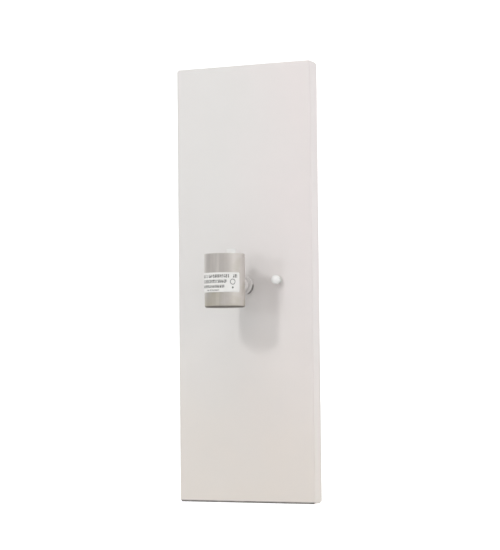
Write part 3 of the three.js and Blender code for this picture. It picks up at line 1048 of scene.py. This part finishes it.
def nut_points(span: Span, bore: float, pitch: float, across_flats: float) -> Array:
    """A hexagonal nut: a thread inside, flats outside, and a 30 degree chamfer on the corners.

    The hexagon's radius is half the width over the flats, over the cosine of the angle from the nearest
    flat's middle. The chamfer drops by the corner's overhang times the tangent of 30 degrees.

    Args:
        span: where the nut is.
        bore: radius of the thread's crests.
        pitch: the thread's pitch.
        across_flats: width over the flats.

    Returns:
        The grid's points.
    """
    low, high = span.outward
    theta = angles(96)[None]
    ones = np.ones_like(theta)
    outer = across_flats / 2 / np.cos(np.mod(theta, math.pi / 3) - math.pi / 6)
    face = across_flats / 2 * 0.95
    drop = (outer - face) * math.tan(math.radians(30))
    rise = np.linspace(low, high, int((high - low) / pitch * THREAD_ROWS))[:, None]
    thread = bore + 0.05 + 0.3 * wave(rise / pitch - theta / TURN)
    radius = np.vstack([thread, face * ones, outer, outer, face * ones])
    height = np.vstack([rise * ones, high * ones, high - drop, low + drop, low * ones])
    return around(radius, height, theta, span.centre, Axis.OUT)


# ---------------------------------------------------------------- the pan


@dataclass
class Pan(Section):
    """The folded pan: a face, four bends and four flanges, open at the corners, from one sheet of steel."""

    span: Span = field(default_factory=lambda: Span.of("wall_pan"))
    sheet: float = 1.2
    bend: float = 1.5
    step: float = 7.0
    arm_block: float = 9.0
    stud_block: float = 6.0
    ripple: float = 0.10
    fine_step: float = 1.5
    fine_across: tuple[float, float] = (-45, 46)
    fine_up: tuple[float, float] = (-12, 15)

    def fold(self, run: Array, half: float) -> tuple[Array, Array]:
        """Fold one direction of the flat sheet.

        Out to the bend line the sheet stays flat. Then it follows a quarter circle of the bend radius, and
        then it runs straight back to the wall.

        Args:
            run: distance along the flat sheet from its middle.
            half: half of the finished width.

        Returns:
            Distance from the middle, and how far behind the face.
        """
        flat = half - self.bend
        past = np.clip(np.abs(run) - flat, 0, None)
        turn = np.minimum(past / self.bend, math.pi / 2)
        straight = np.clip(past - self.bend * math.pi / 2, 0, None)
        out = np.minimum(np.abs(run), flat) + self.bend * np.sin(turn)
        return np.sign(run) * out, self.bend * (1 - np.cos(turn)) + straight

    def place(self, u: Array, v: Array) -> Array:
        """Fold the flat sheet both ways and give the face its slight unevenness, a sum of slow sines.

        Args:
            u: distance across the flat sheet.
            v: distance up it.

        Returns:
            Points on the pan.
        """
        half = self.span.size / 2
        x, back_x = self.fold(u, half[0])
        z, back_z = self.fold(v, half[2])
        inside = np.clip(1 - (x / half[0]) ** 4, 0, 1) * np.clip(1 - (z / half[2]) ** 4, 0, 1)
        swell = np.sin(x / 31 + 0.6) * np.sin(z / 57 + 1.1) + 0.5 * np.sin(z / 23 + x / 60)
        y = self.span.low[1] + back_x + back_z + self.ripple * inside * (1 + swell * 0.6)
        return np.stack([self.span.centre[0] + x, y, self.span.centre[2] + z], -1)

    def lines(self, half: float, marks: list[float], fine: tuple[float, float]) -> Array:
        """Grid lines of one direction: the holes' blocks, a finer stretch, the bends and the flanges.

        Args:
            half: half of the finished width.
            marks: the edges and middles of the holes' blocks.
            fine: where the finer stretch round the arm starts and ends.

        Returns:
            The lines.
        """
        flat = half - self.bend
        arc = self.bend * math.pi / 2
        outer = np.array([*np.linspace(flat, flat + arc, 9), flat + arc + self.span.size[1] - self.bend])
        coarse = grid_lines([*-outer, *marks, *outer], self.step)
        return grid_lines([*coarse, *np.arange(*fine, self.fine_step)], self.step)

    def build(self) -> None:
        """Make the pan and hang it on its body."""
        half, middle = self.span.size / 2, self.span.centre
        arm = Span.of("arm_pipe")
        holes = [Hole(0, arm.centre[2] - middle[2], arm.size[0] / 2 + GAP, self.arm_block)]
        for stud in (Span.of("stud_left"), Span.of("stud_right")):
            holes.append(Hole(stud.centre[0], stud.centre[2] - middle[2], STUD_HOLE, self.stud_block))
        us = [m for h in holes for m in (h.u - h.block, h.u, h.u + h.block)]
        vs = [m for h in holes for m in (h.v - h.block, h.v, h.v + h.block)]
        u = self.lines(half[0], us, self.fine_across)
        v = self.lines(half[2], vs, self.fine_up)

        def cut_away(a: Array, b: Array) -> Array:
            """The four corners, where the sheet is notched."""
            return (abs(a) > half[0] - self.bend) & (abs(b) > half[2] - self.bend)

        flat = pierced(Surface(), u, v, self.place, holes, cut_away)
        inside = np.array([middle[0], 0.0, middle[2]])
        piece = flat.make("pan_sheet", self.finishes.of("wall_pan"), inside)
        self.hang(thicken(piece, self.sheet, -1, 0.18), "wall_pan")


# ---------------------------------------------------------------- studs and ball nuts


@dataclass
class StudSet(Section):
    """A stud through the crossbar with its jam nut, and the captive washer and ball nut in front."""

    side: str
    head: float = 2.4
    across_flats: float = 8.7
    neck_share: float = 0.737
    bore_depth: float = 7.5
    bore_cone: float = 0.8

    def build(self) -> None:
        """Make the four pieces."""
        self.stud()
        node = f"jam_nut_{self.side}"
        self.tube(node, "hex", nut_points(Span.of(node), STUD_RADIUS, STUD_PITCH, self.across_flats))
        self.washer()
        self.ball()

    def stud(self) -> None:
        """The stud, its head behind the bar."""
        node = f"stud_{self.side}"
        span = Span.of(node)
        low, high = span.outward
        screw = Screw(span.size[0] / 2, self.head, STUD_RADIUS, high - low - self.head, STUD_PITCH)
        self.tube(node, "screw", screw.points(span.centre, low + self.head, Axis.OUT, -1), loop=False)

    def washer(self) -> None:
        """The flat washer between the nut and the pan."""
        node = f"nut_washer_{self.side}"
        span = Span.of(node)
        (low, high), outer = span.outward, span.size[0] / 2
        ring = [(STUD_BORE, low), (outer, low), (outer, high), (STUD_BORE, high)]
        self.turned(node, "ring", fillet(ring, 0.2, closed=True))

    def ball(self) -> None:
        """The ball nut: a short neck that flows into a ball, bored from the back."""
        node = f"ball_nut_{self.side}"
        span = Span.of(node)
        (low, high), radius = span.outward, span.size[0] / 2
        meet = math.asin(self.neck_share) - math.pi / 2
        sweep = np.linspace(meet, math.pi / 2, 40)
        sphere = np.stack([radius * np.cos(sweep), high - radius + radius * np.sin(sweep)], -1)
        end = low + self.bore_depth
        neck = [(STUD_BORE, low), (radius * self.neck_share, low), sphere[0]]
        back = fillet([(0, end), (STUD_BORE, end - self.bore_cone), *neck], 0.25)
        profile = np.vstack([back[:-1], sphere])
        profile[-1, 0] = 0
        self.turned(node, "ball", profile, loop=False)


# ---------------------------------------------------------------- the arm


@dataclass
class Arm(Section):
    """The short arm: a threaded pipe inside a plain neck, its collar on the pan, and its nut behind."""

    pipe: Span = field(default_factory=lambda: Span.of("arm_pipe"))
    pitch: float = 0.9407
    bore: float = 3.4
    thread: float = 0.42
    locknut_flats: float = 14.3
    lip: float = 0.9
    mouth: float = 4.9

    def build(self) -> None:
        """Make the six pieces."""
        self.threaded_pipe()
        self.neck()
        self.collar()
        self.bushing()
        locknut = nut_points(Span.of("pipe_locknut"), self.pipe.size[0] / 2, self.pitch, self.locknut_flats)
        self.tube("pipe_locknut", "hex", locknut)
        self.dress("pipe_lock_washer", 0.08)

    def threaded_pipe(self) -> None:
        """The pipe, threaded along its whole outside and chamfered at both ends."""
        low, high = self.pipe.outward
        theta = angles(64)[None]
        ones = np.ones_like(theta)
        run = np.linspace(low, high, int((high - low) / self.pitch * THREAD_ROWS))[:, None]
        ends = np.clip(np.minimum(run - low, high - run) / 0.6, 0, 1)
        ridge = wave(run / self.pitch - theta / TURN)
        outer = self.pipe.size[0] / 2 - self.thread * ridge - 0.4 * (1 - ends)
        radius = np.vstack([self.bore * ones, outer, self.bore * ones])
        height = np.vstack([low * ones, run * ones, high * ones])
        self.tube("arm_pipe", "thread", around(radius, height, theta, self.pipe.centre, Axis.OUT))

    def neck(self) -> None:
        """The plain neck, its front end hollowed to fit round the cup.

        A point's distance from the wall runs from the back end to the cup's surface, which is the cup's
        axis less the root of radius squared less the sideways distance squared.
        """
        span, cup = Span.of("arm_neck"), Span.of("socket_cup")
        back, ease = span.outward[0], 0.2
        axis_out, cup_radius = -cup.centre[1], cup.size[0] / 2 + GAP
        theta = angles(96)[None]
        t = np.concatenate([[0, 0.012], np.linspace(0.05, 0.95, 12), [0.988, 1]])[:, None]
        ends = np.where((t == 0) | (t == 1), ease, 0.0)
        shells = []
        for radius, sign in ((span.size[0] / 2, -1), (self.pipe.size[0] / 2 + GAP, 1)):
            ring = radius + sign * ends
            front = axis_out - np.sqrt(cup_radius**2 - (ring * np.cos(theta)) ** 2)
            shells.append(around(ring, back + (front - back) * t, theta, span.centre, Axis.OUT))
        self.tube("arm_neck", "tube", np.concatenate([shells[0], shells[1][::-1]], 0))

    def collar(self) -> None:
        """The round collar against the pan."""
        span = Span.of("arm_collar")
        (low, high), outer = span.outward, span.size[0] / 2
        bore = self.pipe.size[0] / 2 + GAP
        ring = [(bore, low), (outer, low), (outer, high), (bore, high)]
        self.turned("arm_collar", "ring", fillet(ring, 0.9, 6, closed=True))

    def bushing(self) -> None:
        """The plastic bushing over the pipe's rear end, with a rounded mouth."""
        span = Span.of("wire_bushing")
        (low, high), outer = span.outward, span.size[0] / 2
        skirt, end = self.pipe.size[0] / 2 + GAP, self.pipe.outward[0] - GAP
        mouth = [(self.bore, low), (self.mouth, low), (outer, low + self.lip)]
        ring = [*mouth, (outer, high), (skirt, high), (skirt, end), (self.bore, end)]
        self.turned("wire_bushing", "moulding", fillet(ring, 0.45, 5, closed=True))


# ---------------------------------------------------------------- the crossbar


@dataclass
class Crossbar(Section):
    """The two bars, the eyelet that they turn on, and the ground screw with its cup washer."""

    barrel: float = 7.7
    bore: float = 6.4
    flange: float = 0.6
    front_less: float = 0.5
    sheet: float = 1.5
    rise: float = 4.7
    bend: float = 24.0
    run: float = 4.0
    ground_hole: float = 2.7
    ground_head: float = 2.6
    ground_shank: float = 2.3
    cup_sheet: float = 0.6
    cup_rim: float = 0.5

    def build(self) -> None:
        """Make the five pieces."""
        self.dress("box_bar", 0.2)
        self.fixture_bar()
        self.eyelet()
        self.ground()

    def fixture_bar(self) -> None:
        """The front bar: level, its ends stepped forward. The step is a smooth ramp between two bends."""
        span = Span.of("fixture_bar")
        half, step = span.size / 2, 1.2
        stud, ground = (Span.of(node).centre[0] for node in ("stud_right", "ground_screw"))
        holes = [Hole(0, 0, self.barrel + GAP, 9.6), Hole(ground, 0, self.ground_hole, 5.0)]
        holes += [Hole(side * stud, 0, STUD_BORE, 6.0) for side in (-1, 1)]
        marks = [m for h in holes for m in (h.u - h.block, h.u, h.u + h.block)]
        eased = np.linspace(self.bend - step, self.bend + self.run + step, 15)
        u = grid_lines([-half[0], half[0], *marks, *-eased, *eased], step)
        v = grid_lines([-half[2], half[2], *(m for h in holes for m in (-h.block, h.block)), 0], step)
        middle = span.outward[0] + self.sheet / 2

        def place(a: Array, b: Array) -> Array:
            """Step the strip forward by rise x (t - 0.55 sin(2 pi t) / 2 pi), with t from bend to bend."""
            t = np.clip((np.abs(a) - self.bend) / self.run, 0, 1)
            return np.stack([a, -(middle + self.rise * (t - np.sin(TURN * t) / TURN * 0.55)), b], -1)

        strip = pierced(Surface(), u, v, place, holes)
        inside = np.array([0.0, 50.0, 0.0])
        piece = strip.make("fixture_bar_strip", self.finishes.of("fixture_bar"), inside)
        self.hang(thicken(piece, self.sheet, 0, 0.22), "fixture_bar")

    def eyelet(self) -> None:
        """The rolled eyelet: a barrel through both bars with a flange at each end."""
        span = Span.of("swivel_eyelet")
        (low, high), rear = span.outward, span.size[0] / 2
        front, behind, before = rear - self.front_less, low + self.flange, high - self.flange
        ring = [
            (self.bore, low), (rear, low), (rear, behind), (self.barrel, behind),
            (self.barrel, before), (front, before), (front, high), (self.bore, high),
        ]
        self.turned("swivel_eyelet", "rolled", fillet(ring, 0.28, 4, closed=True))

    def ground(self) -> None:
        """The green ground screw and the brass cup washer under it."""
        span, head = Span.of("ground_screw"), self.ground_head
        low, high = span.outward
        screw = Screw(span.size[0] / 2, head, self.ground_shank, high - low - head, STUD_PITCH)
        self.tube("ground_screw", "head", screw.points(span.centre, high - head, Axis.OUT, 1), loop=False)
        span, bore = Span.of("ground_cup_washer"), self.ground_hole
        (low, high), outer = span.outward, span.size[0] / 2
        rim, floor = outer - self.cup_rim, low + self.cup_sheet
        ring = [(bore, low), (outer, low), (outer, high), (rim, high), (rim, floor), (bore, floor)]
        self.turned("ground_cup_washer", "pressing", fillet(ring, 0.2, 4, closed=True))


# ---------------------------------------------------------------- the lamp holder


@dataclass
class LampHolder(Section):
    """The lamp holder: a spun cup with its label, and inside it the bracket, porcelain, shell and contact."""

    cup: Span = field(default_factory=lambda: Span.of("socket_cup"))
    wall: float = 0.9
    corner: float = 2.2
    paper: float = 0.16
    paper_corner: float = 0.8
    boss: float = 5.0
    well: float = 13.8
    flat: float = 15.7
    body_height: float = 27.0
    well_depth: float = 21.7
    boss_bore: float = 1.9
    boss_depth: float = 8.5
    shell_wall: float = 0.35
    shell_depth: float = 0.75
    shell_pitch: float = 25.4 / 7
    shell_opening: float = 9.4
    leaf: float = 0.4
    pressed: float = 0.35
    rivet_shank: float = 0.85
    rivet_head: float = 0.6
    screw_shank: float = 1.6
    screw_pitch: float = 0.6

    def build(self) -> None:
        """Make every piece of the holder."""
        self.sleeve()
        self.label()
        self.porcelain()
        self.shell()
        self.spring()
        self.button()
        for node in ("contact_rivet", "shell_rivet_rear", "shell_rivet_front"):
            self.rivet(node)
        for node, head in (("hot_terminal_screw", 2.0), ("neutral_terminal_screw", 2.0), ("body_screw", 2.4)):
            self.screw(node, head)
        for node, edge in (("socket_bracket", 0.18), ("hot_terminal", 0.08), ("neutral_terminal", 0.08)):
            self.dress(node, edge)

    def sleeve(self) -> None:
        """The cup: closed and rounded at the bottom, straight above, with the pipe's hole at its back.

        The sheet's first direction runs round the cup as an arc length from the back, and the second runs up
        the wall. The bottom is a second grid from the wall's foot to the pole.
        """
        radius, foot = self.cup.size[0] / 2, self.cup.low[2] + self.corner
        arm = Span.of("arm_pipe")
        hole = Hole(0, arm.centre[2], arm.size[0] / 2 + GAP, 8.0)
        half = math.pi * radius
        u = grid_lines([-half, -hole.block, 0, hole.block, half], 1.1)
        v = grid_lines([foot, hole.v - hole.block, hole.v, hole.v + hole.block, self.cup.high[2]], 1.6)

        def place(a: Array, b: Array) -> Array:
            """Wrap the sheet round the cup, with the back of the cup at zero."""
            theta = a / radius + math.pi / 2
            return around(np.full_like(a, radius), b, theta, self.cup.centre, Axis.UP)

        surface = pierced(Surface(), u, v, place, [hole])
        bend = np.linspace(0, math.pi / 2, 10)
        inner = np.linspace(radius - self.corner, 0, 12)
        ring = np.concatenate([inner[0] + self.corner * np.cos(bend), inner[1:]])
        fall = np.concatenate([foot - self.corner * np.sin(bend), np.full(len(inner) - 1, self.cup.low[2])])
        theta = u[:-1] / radius + math.pi / 2
        surface.grid(around(ring[:, None], fall[:, None], theta[None], self.cup.centre, Axis.UP), wrap=True)
        inside = np.array([0.0, self.cup.centre[1], self.cup.centre[2]])
        piece = surface.make("socket_cup_sleeve", self.finishes.of("socket_cup"), inside)
        self.hang(thicken(piece, self.wall, -1, 0.2), "socket_cup")

    def label(self) -> None:
        """The paper label, bent round the cup's front with rounded corners, its two ends lifting a little.

        The lift is 0.22 mm times the square of how far a point is into the last 0.08 radians.
        """
        span, corner, end = Span.of("rating_label"), self.paper_corner, 0.08
        radius = self.cup.size[0] / 2 + 0.3
        reach = math.asin(span.size[0] / 2 / radius)
        turn = np.linspace(-reach, reach, 97)[None]
        rise = np.linspace(span.low[2], span.high[2], 25)[:, None]
        lift = 0.22 * (np.clip(np.abs(turn) - (reach - end), 0, None) / end) ** 2
        into = np.clip(np.abs(rise - span.centre[2]) - (span.size[2] / 2 - corner), 0, corner)
        inset = (corner - np.sqrt(corner**2 - into**2)) / radius
        theta = -math.pi / 2 + turn * (1 - inset / reach)
        xyz = around(radius + lift + 0 * rise, rise + 0 * turn, theta, self.cup.centre, Axis.UP)
        material = self.finishes.of("rating_label")
        piece = Surface().grid(xyz).make("rating_label_paper", material, self.cup.centre)
        self.hang(thicken(piece, self.paper, -1, 0), "rating_label")

    def porcelain(self) -> None:
        """The glazed body: a deep well with a floor, a boss below, and a flat at the back for the bracket.

        The radius is the turned profile's, cut down at the back to the flat's distance over the sine.
        """
        span = Span.of("socket_body")
        low, top, outer = span.low[2], span.high[2], span.size[0] / 2
        bottom, floor, deep = top - self.body_height, top - self.well_depth, low + self.boss_depth
        boss = [(self.boss_bore, deep), (self.boss_bore, low), (self.boss, low), (self.boss, bottom)]
        well = [(outer, bottom), (outer, top), (self.well, top), (self.well, floor), (0, floor)]
        profile = fillet([(0, deep), *boss, *well], 0.9, 5)
        theta = angles(144)[None]
        ahead = np.maximum(np.sin(theta), MERGE)
        radius = np.minimum(profile[:, :1], np.where(np.sin(theta) > 0.3, self.flat / ahead, outer))
        xyz = around(radius, profile[:, 1:], theta, self.cup.centre, Axis.UP)
        self.tube("socket_body", "glazed", xyz, loop=False)

    def shell(self) -> None:
        """The screw shell: thin metal pressed into a right-hand thread.

        Outside and inside share one wave, root + depth x (1 - cos)/2 of height over pitch less the turn,
        faded out at both ends.
        """
        span = Span.of("screw_shell")
        low, top, wall = span.low[2], span.high[2], self.shell_wall
        root = span.size[0] / 2 - wall - self.shell_depth
        theta = angles(120)[None]
        rise = np.linspace(low + wall, top, 110)[:, None]
        fade = np.clip(np.minimum(rise - low - 0.8, top - 1.2 - rise) / 1.2, 0, 1)
        phase = TURN * (rise / self.shell_pitch) - theta
        inner = root + self.shell_depth * fade * (1 - np.cos(phase)) / 2
        ones = np.ones_like(theta)
        opening = self.shell_opening * ones
        radius = np.vstack([opening, inner, inner[::-1] + wall, opening])
        height = np.vstack([(low + wall) * ones, rise * ones, (rise * ones)[::-1], low * ones])
        height[-2] = low
        self.tube("screw_shell", "thread", around(radius, height, theta, self.cup.centre, Axis.UP))

    def spring(self) -> None:
        """The contact spring: a strip that rises from its riveted end and curls down at the free end."""
        span, middle = Span.of("contact_spring"), self.cup.centre[1]
        low, flat = span.low[2], span.high[2] - self.leaf
        bends = [(-8.7, low), (-4.6, low), (-2.2, flat), (2.6, flat), (3.4, flat - 0.8)]
        line = fillet(bends, 0.9, 5) + np.array([0, self.leaf / 2])
        x, z = line[:, :1], line[:, 1:]
        taper = 1 - 0.16 * np.clip(x / 4, 0, 1) ** 2
        width = np.linspace(-span.size[1] / 2, span.size[1] / 2, 7)[None]
        xyz = np.stack(np.broadcast_arrays(x, middle + width * taper, z), -1)
        inside = np.array([0.0, middle, low - 10])
        piece = Surface().grid(xyz).make("contact_spring_leaf", self.finishes.of("contact_spring"), inside)
        self.hang(thicken(piece, self.leaf, 0, 0.06), "contact_spring")
        anchor = (0.0, float(middle * MM), float((low + self.leaf / 2) * MM))
        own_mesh(piece)

    def button(self) -> None:
        """The domed contact that the lamp's tip presses down: a quarter ellipse on a short foot."""
        span = Span.of("contact_button")
        radius, low, foot = span.size[0] / 2, span.low[2], 0.45
        sweep = np.linspace(0, 1, 14) * math.pi / 2
        rise = low + foot + (span.size[2] - foot) * np.sin(sweep)
        dome = np.stack([radius * np.cos(sweep), rise], -1)
        dome[-1, 0] = 0
        profile = np.vstack([[(0, low), (radius * 0.9, low)], dome])
        self.turned("contact_button", "dome", profile, Axis.UP, loop=False, steps=64)

    def screw(self, node: str, head: float) -> None:
        """A screw that points up from below.

        Args:
            node: the part that it stands for.
            head: its head's height.
        """
        span = Span.of(node)
        screw = Screw(span.size[0] / 2, head, self.screw_shank, span.size[2] - head, self.screw_pitch)
        self.tube(node, "cross", screw.points(span.centre, span.low[2] + head, Axis.UP, -1), loop=False)

    def rivet(self, node: str) -> None:
        """One rivet: a flat head below, a dome above.

        Args:
            node: the part that it stands for.
        """
        span, shank = Span.of(node), self.rivet_shank
        low, high, head = span.low[2], span.high[2], span.size[0] / 2
        under, over = low + self.rivet_head, high - self.rivet_head
        foot = [(0, low), (head, low), (head, under), (shank, under)]
        line = [*foot, (shank, over), (head, over), (head * 0.75, high), (0, high)]
        self.turned(node, "set", fillet(line, 0.18, 3), Axis.UP, loop=False, steps=48)


# ---------------------------------------------------------------- the studio


def aimed(distance: float, across: float, above: float) -> tuple[float, float, float]:
    """A place in front of the pan.

    Args:
        distance: from the origin.
        across: degrees to the left of straight ahead.
        above: degrees above level.

    Returns:
        The place.
    """
    left, rise = math.radians(across), math.radians(above)
    level = distance * math.cos(rise)
    return -level * math.sin(left), -level * math.cos(left), distance * math.sin(rise)


@dataclass
class Studio:
    """A pale floor that sweeps up into a round backdrop, soft lights, and the camera."""

    floor: float = -0.62
    radius: float = 4.6
    lens: float = 122.46
    place: tuple[float, float, float] = (0.7819, -1.8059, -0.0859)
    yaw: float = 23.46
    pitch: float = 2.70
    roll: float = -0.589
    curve: float = 1.6
    wall_top: float = 4.5
    glow_front: float = 0.2
    glow_back: float = 0.6
    glow_from: float = 2.0
    glow_full: float = 3.1
    air: float = 0.19

    def camera(self) -> None:
        """Set the camera: it stands two metres off, to the right of the lamp and a little below it."""
        yaw, pitch, roll = (math.radians(a) for a in (self.yaw, self.pitch, self.roll))
        ahead = Vector((-math.sin(yaw) * math.cos(pitch), math.cos(yaw) * math.cos(pitch), math.sin(pitch)))
        level = Vector((math.cos(yaw), math.sin(yaw), 0))
        upright = level.cross(ahead)
        across = math.cos(roll) * level + math.sin(roll) * upright
        over = -math.sin(roll) * level + math.cos(roll) * upright
        data = bpy.data.cameras.new("camera")
        data.lens = self.lens
        data.sensor_width = 36
        camera = bpy.data.objects.new("camera", data)
        bpy.context.scene.collection.objects.link(camera)
        turn = Matrix((across, over, -ahead)).transposed().to_4x4()
        camera.matrix_world = Matrix.Translation(self.place) @ turn
        bpy.context.scene.camera = camera

    def sweep(self) -> None:
        """The floor and backdrop: a disc that curves up into a wall, turned about the upright axis. The wall
        glows, more behind the light than in front of it, so that the backdrop is even."""
        bend = np.linspace(0, math.pi / 2, 24)
        ring = np.concatenate([[0.0], self.radius - self.curve + self.curve * np.sin(bend), [self.radius]])
        rise = np.concatenate([[0.0], self.curve * (1 - np.cos(bend)), [self.wall_top]]) + self.floor
        profile = np.stack([ring, rise], -1) / MM
        xyz = around(profile[:, :1], profile[:, 1:], angles(96)[None], np.zeros(3), Axis.UP)
        r = Recipe("studio_paper")
        x, y, _ = r.axes()
        far = r.ramp((x * x + y * y).one("SQRT"), self.glow_from, self.glow_full)
        front, back = ((glow,) * 3 for glow in (self.glow_front, self.glow_back))
        walls = r.mix(r.ramp(y, -0.6, 1.4), front, back)
        glow = r.mix(far, (0, 0, 0), walls)
        colour = r.mix(r.noise(3, 2), (0.80, 0.80, 0.80), (0.77, 0.77, 0.77))
        material = r.finish(Base_Color=colour, Roughness=0.9, Emission_Color=glow, Emission_Strength=1.0)
        Surface().grid(xyz, wrap=True).make("studio_floor", material, np.array([0.0, 0.0, -9000.0]))

    def lamp(
        self, name: str, place: tuple[float, float, float], size: tuple[float, float], power: float,
        colour: Colour = (1, 1, 1),
    ) -> None:
        """Add a soft rectangular light that points at the origin.

        Args:
            name: its name.
            place: where it stands, in metres.
            size: its width and height.
            power: in watts.
            colour: its tint.
        """
        data = bpy.data.lights.new(name, "AREA")
        data.shape = "RECTANGLE"
        data.size, data.size_y = size
        data.energy = power
        data.color = colour
        light = bpy.data.objects.new(name, data)
        bpy.context.scene.collection.objects.link(light)
        ahead = -Vector(place)
        light.matrix_world = Matrix.Translation(place) @ ahead.to_track_quat("-Z", "Y").to_matrix().to_4x4()

    def build(self) -> None:
        """Light the scene."""
        self.sweep()
        world = bpy.data.worlds.new("studio_air")
        world.use_nodes = True
        world.node_tree.nodes["Background"].inputs[0].default_value = (1, 1, 1, 1)
        world.node_tree.nodes["Background"].inputs[1].default_value = self.air
        bpy.context.scene.world = world
        bpy.context.scene.view_settings.view_transform = "Standard"
        self.lamp("strip", aimed(2.6, 17, 30), (0.22, 0.4), 13.3)
        self.lamp("low_key", aimed(2.5, 23, 4), (0.25, 0.25), 2.4)
        self.lamp("overhead", (0.1, -0.9, 2.3), (1.6, 1.2), 15, (1.0, 0.985, 0.97))
        self.lamp("side", (2.6, -0.5, 0.8), (1.0, 1.6), 11)
        self.lamp("rear", (2.2, 1.2, 1.6), (1.4, 1.4), 3)


def main() -> None:
    """Build the scene and the object, piece by piece."""
    studio = Studio()
    studio.camera()
    studio.build()
    finishes = Finishes()
    sections = [
        Pan(finishes), StudSet(finishes, "left"), StudSet(finishes, "right"), Arm(finishes),
        Crossbar(finishes), LampHolder(finishes),
    ]
    for section in sections:
        log.info("building %s", type(section).__name__)
        section.build()
    bpy.context.view_layer.update()


if __name__ == "__main__":
    logging.basicConfig(level=logging.INFO, format="%(message)s")
    main()
